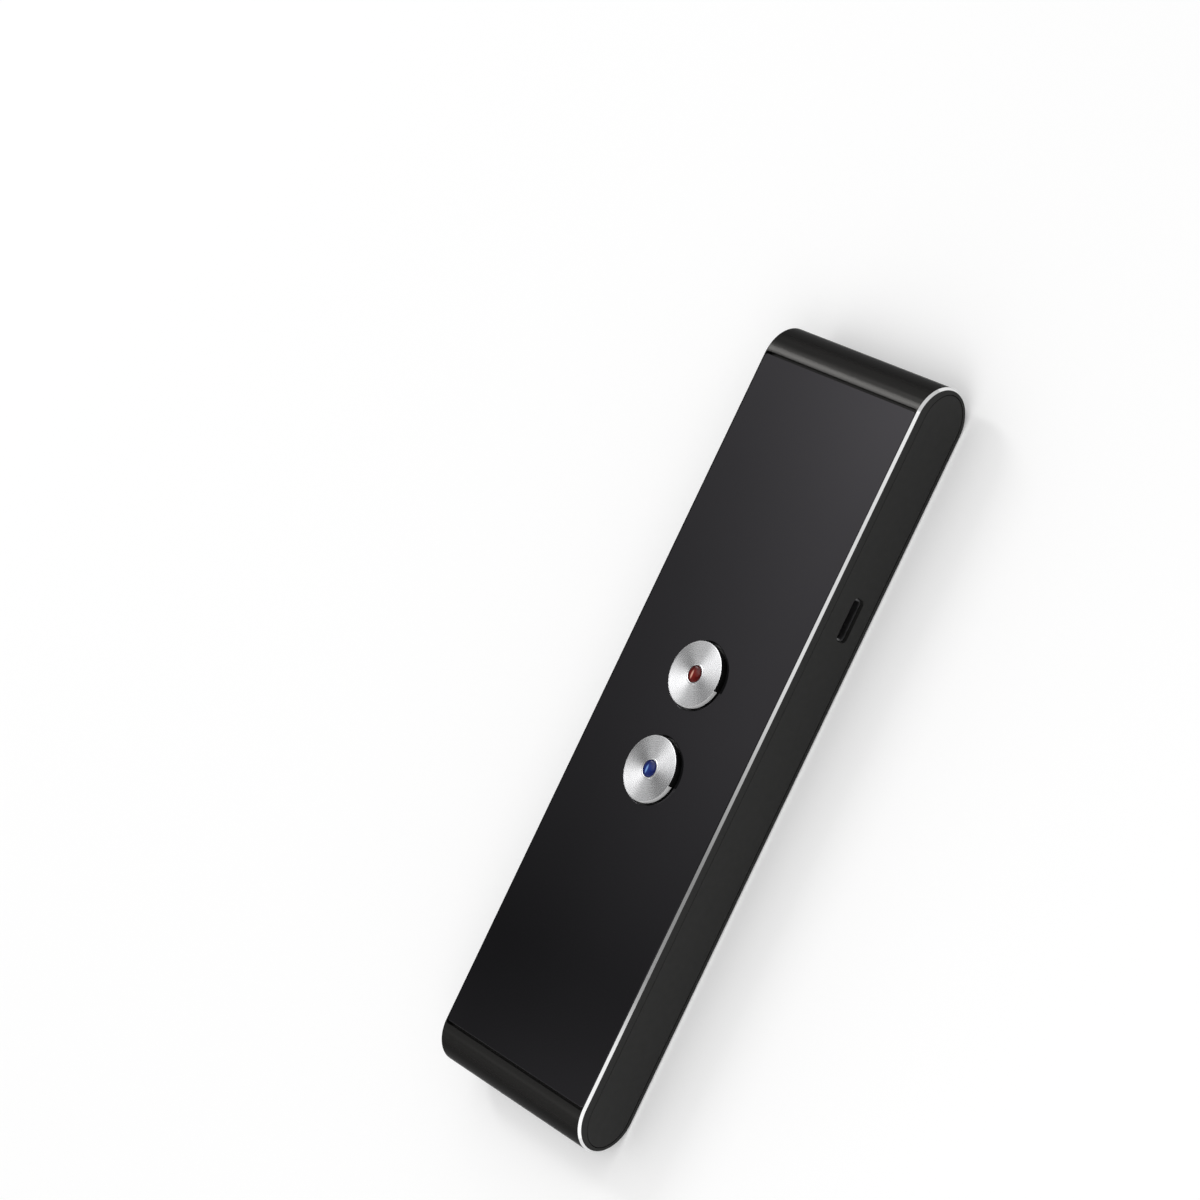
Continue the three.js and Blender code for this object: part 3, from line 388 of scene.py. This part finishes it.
def boxShape(low, high):
    shape = bmesh.new()
    bmesh.ops.create_cube(shape, size=1)
    size = [top - bottom for bottom, top in zip(low, high)]
    middle = [(top + bottom) / 2 for bottom, top in zip(low, high)]
    bmesh.ops.scale(shape, vec=size, verts=shape.verts)
    bmesh.ops.translate(shape, vec=middle, verts=shape.verts)
    return shape


# A box whose edges along one axis (0, 1 or 2) are rounded
def roundedBox(low, high, axis, radius, segments=8):
    shape = boxShape(low, high)
    along = [edge for edge in shape.edges
             if abs(edge.verts[0].co[axis] - edge.verts[1].co[axis]) > closeBy]
    bevelEdges(shape, along, radius - closeBy, segments)
    return shape


# The edges round one end face of a shape, at a value on an axis
def faceRim(shape, axis, value):
    def onFace(face):
        return all(abs(vert.co[axis] - value) < closeBy for vert in face.verts)
    return [edge for edge in shape.edges if sum(onFace(face) for face in edge.link_faces) == 1]


# The body's section in y and z, with half-elliptic ends, raised along x
def sectionShape(body, reach, bottom, top, low, high, inset=0):
    shape = bmesh.new()
    middle = (bottom + top) / 2
    rise = (top - bottom) / 2 - inset
    start = shape.verts.new((low, 0, rise))
    bmesh.ops.spin(shape, geom=[start], axis=(1, 0, 0), angle=-pi, steps=body["endSteps"])
    bmesh.ops.scale(shape, vec=(1, (reach - inset) / rise, 1), verts=shape.verts)
    bmesh.ops.translate(shape, vec=(0, body["flatHalf"], 0), verts=shape.verts)
    other = onlyVerts(bmesh.ops.duplicate(shape, geom=shape.verts[:] + shape.edges[:]))
    bmesh.ops.rotate(shape, cent=(0, 0, 0), matrix=Matrix.Rotation(pi, 3, "X"), verts=other)
    ends = [vert for vert in shape.verts if len(vert.link_edges) == 1]
    for height in (-1, 1):
        shape.edges.new([vert for vert in ends if vert.co.z * height > 0])
    outline = bmesh.ops.contextual_create(shape, geom=shape.edges[:])["faces"]
    raised = onlyVerts(bmesh.ops.extrude_face_region(shape, geom=outline))
    bmesh.ops.translate(shape, vec=(high - low, 0, 0), verts=raised)
    bmesh.ops.translate(shape, vec=(0, 0, middle), verts=shape.verts)
    bmesh.ops.recalc_face_normals(shape, faces=shape.faces)
    return shape


def onlyVerts(result):
    return [item for item in result["geom"] if isinstance(item, bmesh.types.BMVert)]


# A mesh from a shape, which is freed
def meshFrom(name, shape):
    mesh = bpy.data.meshes.new(name)
    shape.to_mesh(mesh)
    shape.free()
    return mesh


# Cuts one shape from another, or joins them
def combine(shape, tools, operation="DIFFERENCE"):
    work = addObject("workPart", meshFrom("workPart", shape))
    tool = addObject("workTool", meshFrom("workTool", tools))
    modifier = work.modifiers.new("cut", "BOOLEAN")
    modifier.operation = operation
    modifier.solver = "EXACT"
    modifier.object = tool
    result = bmesh.new()
    result.from_object(work, bpy.context.evaluated_depsgraph_get())
    for item in (work, tool):
        mesh = item.data
        bpy.data.objects.remove(item)
        bpy.data.meshes.remove(mesh)
    return result


def gather(shapes):
    whole = bmesh.new()
    for part in shapes:
        mesh = meshFrom("part", part)
        whole.from_mesh(mesh)
        bpy.data.meshes.remove(mesh)
    return whole


def makePiece(name, shape, body, materials, standsFor):
    bmesh.ops.remove_doubles(shape, verts=shape.verts, dist=closeBy / 5)
    bmesh.ops.recalc_face_normals(shape, faces=shape.faces)
    for edge in shape.edges:
        edge.smooth = edge.calc_face_angle(0) < radians(sharpAngle)
    for face in shape.faces:
        face.smooth = True
        if face.calc_area() > broadFace:
            for edge in face.edges:
                edge.smooth = False
    bmesh.ops.scale(shape, vec=[millimetre] * 3, verts=shape.verts)
    mesh = meshFrom(name, shape)
    for material in materials:
        mesh.materials.append(material)
    made = addObject(name, mesh)
    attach(made, body)
    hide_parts(*standsFor)
    return made


# Sleeve: brushed tube with rounded ends and bright cut edges

sleeve = {
    "side": 19.5,
    "flatHalf": 63.4,
    "endReach": 6.6,
    "endSteps": 64,
    "backWall": 1.0,
    "cavityTop": front - 1.85,
    "cavityReach": 5.6,
    "edgeChamfer": 0.4,
    "edgeZone": 0.6,  # how far in from its sides the sleeve isn't anodised
    "edgeTurns": (0.6, 0.8),  # how far outward a face there looks: the bright cut between, the rim above
    "recessWidth": 38.1,
    "recessLength": 128.0,
    "recessFloor": front - 1.05,
    "recessCorner": 0.6,
    "apertureRadius": 7.15,
    "screwPlace": (14.5, 60),
    "screwHole": 0.95,
    "screwHead": 1.55,
    "screwSeat": front - 1.55,
    "grillePitch": 1.9,
    "grilleColumns": 8,
    "grilleRows": 3,
    "grilleY": -50,
    "grilleHole": 0.5,
    "micY": 51,
    "micHole": 0.5,
    "holeSink": 0.14,
    "holeDepth": 1.5,
}


def cavityShape(body, low, high, inset=0):
    return sectionShape(body, body["cavityReach"], body["backWall"], body["cavityTop"], low, high, inset)


# A cutter for a hole through the back, sunk at its rim
def backHole(body, radius, x, y):
    lead = past / 2
    sink, depth = body["holeSink"], body["holeDepth"]
    points = [(0, -lead), (radius + sink + lead, -lead), (radius, sink), (radius, depth), (0, depth)]
    return turned(points, x, y, steps=20)


# A cutter for a frame screw's hole and the wider place for its head
def screwHole(body, x, y):
    hole, head, seat = body["screwHole"], body["screwHead"], body["screwSeat"]
    through = body["cavityTop"] - past
    points = [(0, through), (hole, through), (hole, seat), (head, seat), (head, front), (0, front)]
    return turned(points, x, y, steps=32)


def keyAperture(body, y):
    through, radius = body["cavityTop"] - past, body["apertureRadius"]
    return turned([(0, through), (radius, through), (radius, front), (0, front)], y=y)


def sleeveOpenings(body):
    openings = [keyAperture(body, y) for y in keyPlaces.values()]
    screwX, screwY = body["screwPlace"]
    openings += [screwHole(body, x, y) for x in (-screwX, screwX) for y in (-screwY, screwY)]
    for column in range(body["grilleColumns"]):
        for row in range(body["grilleRows"]):
            x = (column - (body["grilleColumns"] - 1) / 2) * body["grillePitch"]
            y = body["grilleY"] + (row - (body["grilleRows"] - 1) / 2) * body["grillePitch"]
            openings.append(backHole(body, body["grilleHole"], x, y))
    openings.append(backHole(body, body["micHole"], 0, body["micY"]))
    return gather(openings)


def makeSleeve(body):
    side = body["side"]
    shape = sectionShape(body, body["endReach"], 0, front, -side, side)
    rims = faceRim(shape, 0, side) + faceRim(shape, 0, -side)
    bevelEdges(shape, rims, body["edgeChamfer"], segments=1)
    shape = combine(shape, cavityShape(body, -side - past, side + past))
    halfWidth, halfLength = body["recessWidth"] / 2, body["recessLength"] / 2
    recess = roundedBox((-halfWidth, -halfLength, body["recessFloor"]), (halfWidth, halfLength, front + past),
                        2, body["recessCorner"])
    shape = combine(shape, recess)
    shape = combine(shape, sleeveOpenings(body))
    cut, rim = body["edgeTurns"]
    for face in shape.faces:
        outward = abs(face.normal.x)
        if abs(face.calc_center_median().x) > side - body["edgeZone"] and outward > cut:
            face.material_index = 1 if outward < rim else 2  # the bright cut, or matte as the plates are
    makePiece("sleeveBody", shape, "housing",
              [finish["anodised"], finish["diamondCut"], finish["plate"]], ["housing_sleeve"])


makeSleeve(sleeve)
print("sleeve made")


# Front panel: a gloss sheet with two round holes

panel = {
    "halfWidth": 18.95,
    "halfLength": 63.5,
    "bottom": front - 0.9,
    "top": front,
    "corner": 0.6,
    "edgeRound": 0.12,
    "hole": 6.15,
}


# A cutter for a key's hole, flared at the top so that it leaves a rounded lip
def lippedHole(sheet, y):
    radius, top, edge = sheet["hole"], sheet["top"], sheet["edgeRound"]
    lip = [(radius + edge * (1 - cos(turn)), top - edge * (1 - sin(turn)))
           for turn in (0, pi / 6, pi / 3, pi / 2)]
    points = [(0, top - 2 * past), (radius, top - 2 * past), *lip, (radius + edge, top + past),
              (0, top + past)]
    return turned(points, y=y, steps=128)


def makePanel(sheet):
    low = (-sheet["halfWidth"], -sheet["halfLength"], sheet["bottom"])
    high = (sheet["halfWidth"], sheet["halfLength"], sheet["top"])
    shape = roundedBox(low, high, 2, sheet["corner"], segments=6)
    bevelEdges(shape, faceRim(shape, 2, sheet["top"]), sheet["edgeRound"], segments=3)
    shape = combine(shape, gather([lippedHole(sheet, y) for y in keyPlaces.values()]))
    makePiece("frontGlass", shape, "housing", [finish["gloss"]], ["front_panel"])


makePanel(panel)
print("front panel made")


# Talk keys: turned silver cap, lens and black plunger

talkKey = {
    "capRadius": 5.85,
    "capBottom": front + 0.1,
    "capTop": front + 1,
    "rimWidth": 0.2,
    "dish": 0.08,
    "bore": 1.55,
    "collarWidth": 0.28,
    "collarRise": 0.08,
    "collarBevel": 0.03,
    "edgeRound": 0.05,
    "paintedShadeAngles": (-11, 110),  # degrees about the key's middle, where the flank is painted black as shade; elsewhere it is painted as a lit pale lip
    "lensRadius": 1.5,
    "lensDome": 0.3,
    "lensSteps": 10,
    "lensFoot": front - 0.45,
    "neckRadius": 5.55,
    "flangeRadius": 6.75,
    "flangeTop": front - 1,
    "flangeBottom": front - 1.55,
    "flangeBevel": 0.12,
    "postRadius": 1.6,
    "postBottom": front - 2.7,
    "postBevel": 0.15,
}


def makeCap(key, colour, y):
    dish = key["capTop"] - key["dish"]
    collar = key["bore"] + key["collarWidth"]
    raised = dish + key["collarRise"]
    points = [
        (key["bore"], key["capBottom"]),
        (key["capRadius"], key["capBottom"]),
        (key["capRadius"], key["capTop"]),
        (key["capRadius"] - key["rimWidth"], key["capTop"]),
        (collar, dish),
        (collar, raised),
        (key["bore"], raised),
        (key["bore"], key["capBottom"]),
    ]
    shape = turned(points, y=y, steps=128)
    bevelEdges(shape, ringEdges(shape, key["capRadius"], key["capTop"], y), key["edgeRound"], segments=4)
    bevelEdges(shape, ringEdges(shape, key["capRadius"], key["capBottom"], y), key["edgeRound"], segments=2)
    bevelEdges(shape, ringEdges(shape, collar, raised, y), key["collarBevel"], segments=2)
    bevelEdges(shape, ringEdges(shape, key["bore"], raised, y), key["collarBevel"], segments=2)
    first, last = key["paintedShadeAngles"]
    # Painted light: between these angles the flank is painted black as shade, and elsewhere as a lit pale lip
    for face in shape.faces:
        away = face.calc_center_median() - Vector((0, y, 0))
        if Vector((away.x, away.y)).length > key["capRadius"] - key["edgeRound"] / 2:
            dark = first < degrees(atan2(away.y, away.x)) < last
            face.material_index = 2 if dark else 1
    return makePiece(colour + "Cap", shape, colour + "_key",
                     [finish[colour + "Turned"], finish["paintedLitLip"], finish["paintedShadeFlank"]], [colour + "_key_cap"])


def makeLens(key, colour, y):
    radius, foot, steps = key["lensRadius"], key["lensFoot"], key["lensSteps"]
    shoulder = key["capTop"] - key["dish"]
    turns = [step * pi / (2 * steps) for step in range(steps)]
    arc = [(radius * cos(turn), shoulder + key["lensDome"] * sin(turn)) for turn in turns]
    points = [(0, foot), (radius, foot), *arc, (0, shoulder + key["lensDome"])]
    makePiece(colour + "Lens", turned(points, y=y, steps=64), colour + "_key",
              [finish[colour + "Lens"]], [colour + "_key_lens"])


def makePlunger(key, colour, y):
    points = [
        (0, key["postBottom"]),
        (key["postRadius"], key["postBottom"]),
        (key["postRadius"], key["flangeBottom"]),
        (key["flangeRadius"], key["flangeBottom"]),
        (key["flangeRadius"], key["flangeTop"]),
        (key["neckRadius"], key["flangeTop"]),
        (key["neckRadius"], key["capBottom"]),
        (key["bore"], key["capBottom"]),
        (key["bore"], key["lensFoot"]),
        (0, key["lensFoot"]),
    ]
    shape = turned(points, y=y)
    flangeEdge = ringEdges(shape, key["flangeRadius"], key["flangeTop"], y)
    bevelEdges(shape, flangeEdge, key["flangeBevel"], segments=3)
    postEdge = ringEdges(shape, key["postRadius"], key["postBottom"], y)
    bevelEdges(shape, postEdge, key["postBevel"], segments=2)
    makePiece(colour + "Plunger", shape, colour + "_key", [finish["plunger"]],
              [colour + "_key_plunger"])


caps = []
for colour, y in keyPlaces.items():
    caps.append(makeCap(talkKey, colour, y))
    makeLens(talkKey, colour, y)
    makePlunger(talkKey, colour, y)
print("talk keys made")


# Side plates, side keys and the port's shell

sidePlate = {
    "outer": 19.5,
    "inner": 18.3,
    "gap": 0.1,
    "edgeRound": 0.12,
    "hookPlaces": (-61, 44, 61),
    "hookWidth": 5,
    "hookHeight": 2,
    "hookMiddle": 3.6,
    "hookEnd": 17.1,
    "hookRoot": 0.6,  # how deep a hook starts inside the plate
    "hookBevel": 0.25,
    "cutters": (17.8, 20.5),  # from where to where along x the openings are cut
}
sideKey = {
    "middle": front - 6.1,
    "front": 20.05,
    "back": 17.6,
    "segments": 16,
    "slotGap": 0.15,
    "edgeRound": 0.2,
    "flangeInner": 17.8,
    "kinds": {
        "power": {"node": "power_key", "body": "power_button", "y": 28.7, "size": (8.2, 3.2),
                  "flange": (9.4, 4.4), "flangeOuter": 18.2},
        "volume": {"node": "volume_rocker", "body": "volume_button", "y": 6.0, "size": (24, 3.4),
                   "flange": (9, 4.6), "flangeOuter": 18.15},
    },
}
port = {
    "y": 28,
    "z": front - 6.9,
    "mouth": (7.9, 2.5),
    "mouthRadius": 0.9,
    "pocket": (8.1, 3.1),
    "pocketRadius": 0.7,
    "pocketEnd": 18.8,
    "shell": (7.6, 2.6),
    "shellRadius": 0.7,
    "shellWall": 0.3,
    "shellFront": 18.7,
    "shellBack": 13.3,
}


# Two corners of a box from one x to another, its width and height about y and z
def cornersAbout(size, low, high, y, z):
    return (low, y - size[0] / 2, z - size[1] / 2), (high, y + size[0] / 2, z + size[1] / 2)


# A rounded block through or on a side face
def sideBlock(size, radius, low, high, y, z, segments=10):
    return roundedBox(*cornersAbout(size, low, high, y, z), 0, radius, segments)


# A cover that fills the sleeve's open side, with its hooks; side is -1 on the left and 1 on the right
def plateBlank(plate, side):
    outer, inner = side * plate["outer"], side * plate["inner"]
    shape = cavityShape(sleeve, min(outer, inner), max(outer, inner), plate["gap"])
    bevelEdges(shape, faceRim(shape, 0, outer), plate["edgeRound"], segments=3)
    end, root = side * plate["hookEnd"], side * (plate["inner"] + plate["hookRoot"])
    hooks = []
    for y in plate["hookPlaces"]:
        hook = boxShape(*cornersAbout((plate["hookWidth"], plate["hookHeight"]), min(end, root),
                                      max(end, root), y, plate["hookMiddle"]))
        bevelEdges(hook, faceRim(hook, 0, end), plate["hookBevel"], segments=2)
        hooks.append(hook)
    return combine(shape, gather(hooks), "UNION")


def makePlates(plate, key, opening):
    near, far = plate["cutters"]
    gap = 2 * key["slotGap"]
    slots = []
    for kind in key["kinds"].values():
        length, height = kind["size"]
        slots.append(sideBlock((length + gap, height + gap), (height + gap) / 2, -far, -near, kind["y"],
                               key["middle"], key["segments"]))
    left = combine(plateBlank(plate, -1), gather(slots))
    makePiece("leftCover", left, "housing", [finish["plate"]], ["left_side_plate"])
    y, z = opening["y"], opening["z"]
    mouth = sideBlock(opening["mouth"], opening["mouthRadius"], near, far, y, z)
    pocket = sideBlock(opening["pocket"], opening["pocketRadius"], near, opening["pocketEnd"], y, z)
    right = combine(combine(plateBlank(plate, 1), mouth), pocket)
    makePiece("rightCover", right, "housing", [finish["plate"]], ["right_side_plate"])


def makeSideKey(key, name):
    kind = key["kinds"][name]
    y, z = kind["y"], key["middle"]
    shape = sideBlock(kind["size"], kind["size"][1] / 2, -key["front"], -key["back"], y, z, key["segments"])
    bevelEdges(shape, faceRim(shape, 0, -key["front"]), key["edgeRound"], segments=4)
    flange = boxShape(*cornersAbout(kind["flange"], -kind["flangeOuter"], -key["flangeInner"], y, z))
    shape = combine(shape, flange, "UNION")
    makePiece(name + "Key", shape, kind["body"], [finish["satin"]], [kind["node"]])


def makePortShell(opening):
    y, z, wall = opening["y"], opening["z"], opening["shellWall"]
    shape = sideBlock(opening["shell"], opening["shellRadius"], opening["shellBack"], opening["shellFront"],
                      y, z)
    bore = sideBlock([part - 2 * wall for part in opening["shell"]], opening["shellRadius"] - wall,
                     opening["shellBack"] - past, opening["shellFront"] + past, y, z)
    makePiece("portShell", combine(shape, bore), "housing", [finish["portSteel"]],
              ["usb_shell"])


makePlates(sidePlate, sideKey, port)
for name in sideKey["kinds"]:
    makeSideKey(sideKey, name)
makePortShell(port)
print("side pieces made")


# CAD nodes that keep their own shape

screws = [kind + "_screw_" + str(index) for kind in ("frame", "board") for index in (1, 2, 3, 4)]
nodeFinish = {
    "frame": ["inner_frame", "usb_contact_insert"],
    "board": ["main_board", "cell_protection_board"],
    "chip": ["processor_chip", "memory_chip", "power_chip", "audio_amplifier", "radio_chip"],
    "steel": ["radio_shield", "microphone"] + screws,
    "ceramic": ["chip_antenna", "battery_connector"],
    "plunger": ["red_switch_stem", "blue_switch_stem", "power_switch_stem", "volume_up_switch_stem",
                "volume_down_switch_stem", "red_key_switch", "blue_key_switch", "power_switch",
                "volume_up_switch", "volume_down_switch", "speaker"],
    "redLens": ["red_led"],
    "blueLens": ["blue_led"],
    "foil": ["battery_cell"],
    "tape": ["battery_tape"],
    "redLead": ["battery_lead_red"],
    "blackLead": ["battery_lead_black"],
    "rubber": ["speaker_seal", "microphone_boot"],
    "brass": ["speaker_contact_left", "speaker_contact_right"],
    "film": ["panel_adhesive_film"],
}
for finishName, nodeNames in nodeFinish.items():
    for nodeName in nodeNames:
        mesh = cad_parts[nodeName].data
        mesh.materials.clear()
        mesh.materials.append(finish[finishName])
print("CAD nodes finished:", sum(len(names) for names in nodeFinish.values()))


# Studio: pale floor, soft lamps and a white surround

studio = {
    "floorSize": 8,  # metres
    "floorDrop": 0.0002,  # metres
    "floorColour": grey(0.93),
    "floorTint": 0.99,  # the floor's darker tone against its colour
    "floorGlow": 0.13,  # for the camera alone
    "fill": 0.72,
    "lamps": {  # metres; leftOut isn't lit by the lamp, and mirrored says whether shiny surfaces show it
        "strip": {"place": (-0.80, 0.39, 0.67), "size": (0.36, 0.17), "watts": 1.9, "leftOut": caps,
                  "mirrored": True},
        "lower": {"place": (0.62, -0.45, 0.66), "size": (0.6, 0.62), "watts": 2.2, "leftOut": [],
                  "mirrored": False},
    },
    # What shiny surfaces mirror: tones by y on the left and on the right, and by z on the left.
    # Each stop's place runs from 0, where the direction's y or z is -1, to 1.
    "leftTones": [(0.0, 3.4), (0.2, 3.2), (0.24, 2.4), (0.275, 1.2), (0.32, 0.5), (0.4, 0.4),
                  (0.4338, 0.24), (0.4387, 0.16), (0.4475, 0.12), (0.465, 0.27), (0.4825, 0.43),
                  (0.5, 0.53), (0.5164, 0.7), (0.5328, 1.0), (0.58, 1.05), (0.64, 0.95), (0.7, 0.92),
                  (0.76, 4.0), (0.8, 3.3), (1.0, 3.0)],
    "leftHeights": [(0.0, 0.2), (0.70, 0.2), (0.73, 0.08), (0.76, 0.08), (0.79, 1.0), (0.84, 1.0),
                    (0.8485, 0.64), (0.8645, 1.42), (0.871, 1.0), (0.89, 0.35), (1.0, 0.35)],
    "rightTones": [(0.0, 1.15), (0.4, 1.12), (0.434, 1.06), (0.4415, 1.0), (0.4455, 0.3), (0.4551, 0.31),
                   (0.4628, 0.24), (0.4705, 0.35), (0.4787, 0.43), (0.4863, 0.64), (0.494, 0.84),
                   (0.5022, 0.8), (0.517, 0.75), (0.524, 0.88), (0.531, 0.98), (0.56, 1.15),
                   (0.6, 0.65), (0.7, 0.7), (1.0, 0.6)],
    "sideBlend": 0.1,  # how far to either side of x = 0 the left passes into the right
    "glow": {"way": (-0.42, 0.22, 0.88), "reach": 19, "core": 19 / 3, "tone": 4.3},  # degrees
}


def makeFloor(values):
    shape = bmesh.new()
    bmesh.ops.create_grid(shape, x_segments=8, y_segments=8, size=values["floorSize"] / 2)
    bmesh.ops.translate(shape, vec=(0, 0, -values["floorDrop"]), verts=shape.verts)
    floor = addObject("paleFloor", meshFrom("paleFloor", shape))
    material, tree, shader = startFinish("paleFloor", Specular_IOR_Level=0.0, Roughness=0.9,
                                         Emission_Color=(*grey(1), 1))
    seen = addNode(tree, "LightPath").outputs["Is Camera Ray"]
    tree.links.new(calculate(tree, "MULTIPLY", seen, values["floorGlow"]), shader.inputs["Emission Strength"])
    colour = values["floorColour"]
    tone = noise(tree, placedCoordinates(tree), scale=3)
    tree.links.new(blendColours(tree, tone, colour, [part * values["floorTint"] for part in colour]),
                   shader.inputs["Base Color"])
    floor.data.materials.append(material)


def makeLamp(name, values):
    data = bpy.data.lights.new(name, "AREA")
    data.shape = "RECTANGLE"
    data.size, data.size_y = values["size"]
    data.energy = values["watts"]
    lamp = addObject(name, data)
    lamp.location = values["place"]
    back = Vector(values["place"]).normalized()
    across = Vector((0, 1, 0)).cross(back).normalized()
    lamp.rotation_euler = Matrix((across, back.cross(across), back)).transposed().to_euler()
    lamp.visible_glossy = values["mirrored"]
    if values["leftOut"]:
        lit = bpy.data.collections.new(name + "Receivers")
        lamp.light_linking.receiver_collection = lit
        for item in values["leftOut"]:
            lit.objects.link(item)
        for member in lit.collection_objects:
            member.light_linking.link_state = "EXCLUDE"


# A tone for each value from -1 to 1, between stops placed from 0 to 1
def toneRamp(tree, value, stops):
    ramp = addNode(tree, "ValToRGB", Fac=remap(tree, value, 0, 1, -1, 1))
    steps = ramp.color_ramp.elements
    peak = max(tone for place, tone in stops)
    for place, tone in stops[1:-1]:
        steps.new(place)
    for step, (place, tone) in zip(steps, stops):
        step.color = (*grey(tone / peak), 1)
    return calculate(tree, "MULTIPLY", ramp.outputs["Color"], peak)


# What shiny surfaces mirror, by the way they look
def mirroredTone(tree, values):
    way = addNode(tree, "TexCoord").outputs["Generated"]
    split = addNode(tree, "SeparateXYZ", Vector=way).outputs
    left = calculate(tree, "MULTIPLY", toneRamp(tree, split["Y"], values["leftTones"]),
                     toneRamp(tree, split["Z"], values["leftHeights"]))
    right = toneRamp(tree, split["Y"], values["rightTones"])
    blend = values["sideBlend"]
    sides = addNode(tree, "Mix", Factor=remap(tree, split["X"], 0, 1, -blend, blend), A=left, B=right)
    glow = values["glow"]
    near = vectorMath(tree, "DOT_PRODUCT", way, Vector(glow["way"]).normalized())["Value"]
    lit = remap(tree, near, 0, glow["tone"], cos(radians(glow["reach"])), cos(radians(glow["core"])))
    return calculate(tree, "ADD", sides.outputs["Result"], lit)


def makeSurround(values):
    world = bpy.data.worlds.new("whiteSurround")
    world.use_nodes = True
    bpy.context.scene.world = world
    tree = world.node_tree
    tree.nodes.clear()

    def background(colour, strength):
        return addNode(tree, "Background", Color=colour, Strength=strength).outputs["Background"]

    def mixShaders(share, first, second):
        made = addNode(tree, "MixShader", Fac=share)
        tree.links.new(first, made.inputs[1])
        tree.links.new(second, made.inputs[2])
        return made.outputs["Shader"]

    white = (*grey(1), 1)
    rays = addNode(tree, "LightPath").outputs
    shiny = calculate(tree, "MAXIMUM", rays["Is Glossy Ray"], rays["Is Transmission Ray"])
    lit = mixShaders(shiny, background(white, values["fill"]), background(mirroredTone(tree, values), 1))
    addNode(tree, "OutputWorld", Surface=mixShaders(rays["Is Camera Ray"], lit, background(white, 1)))


makeFloor(studio)
for name, lamp in studio["lamps"].items():
    makeLamp(name, lamp)
makeSurround(studio)
print("studio set")
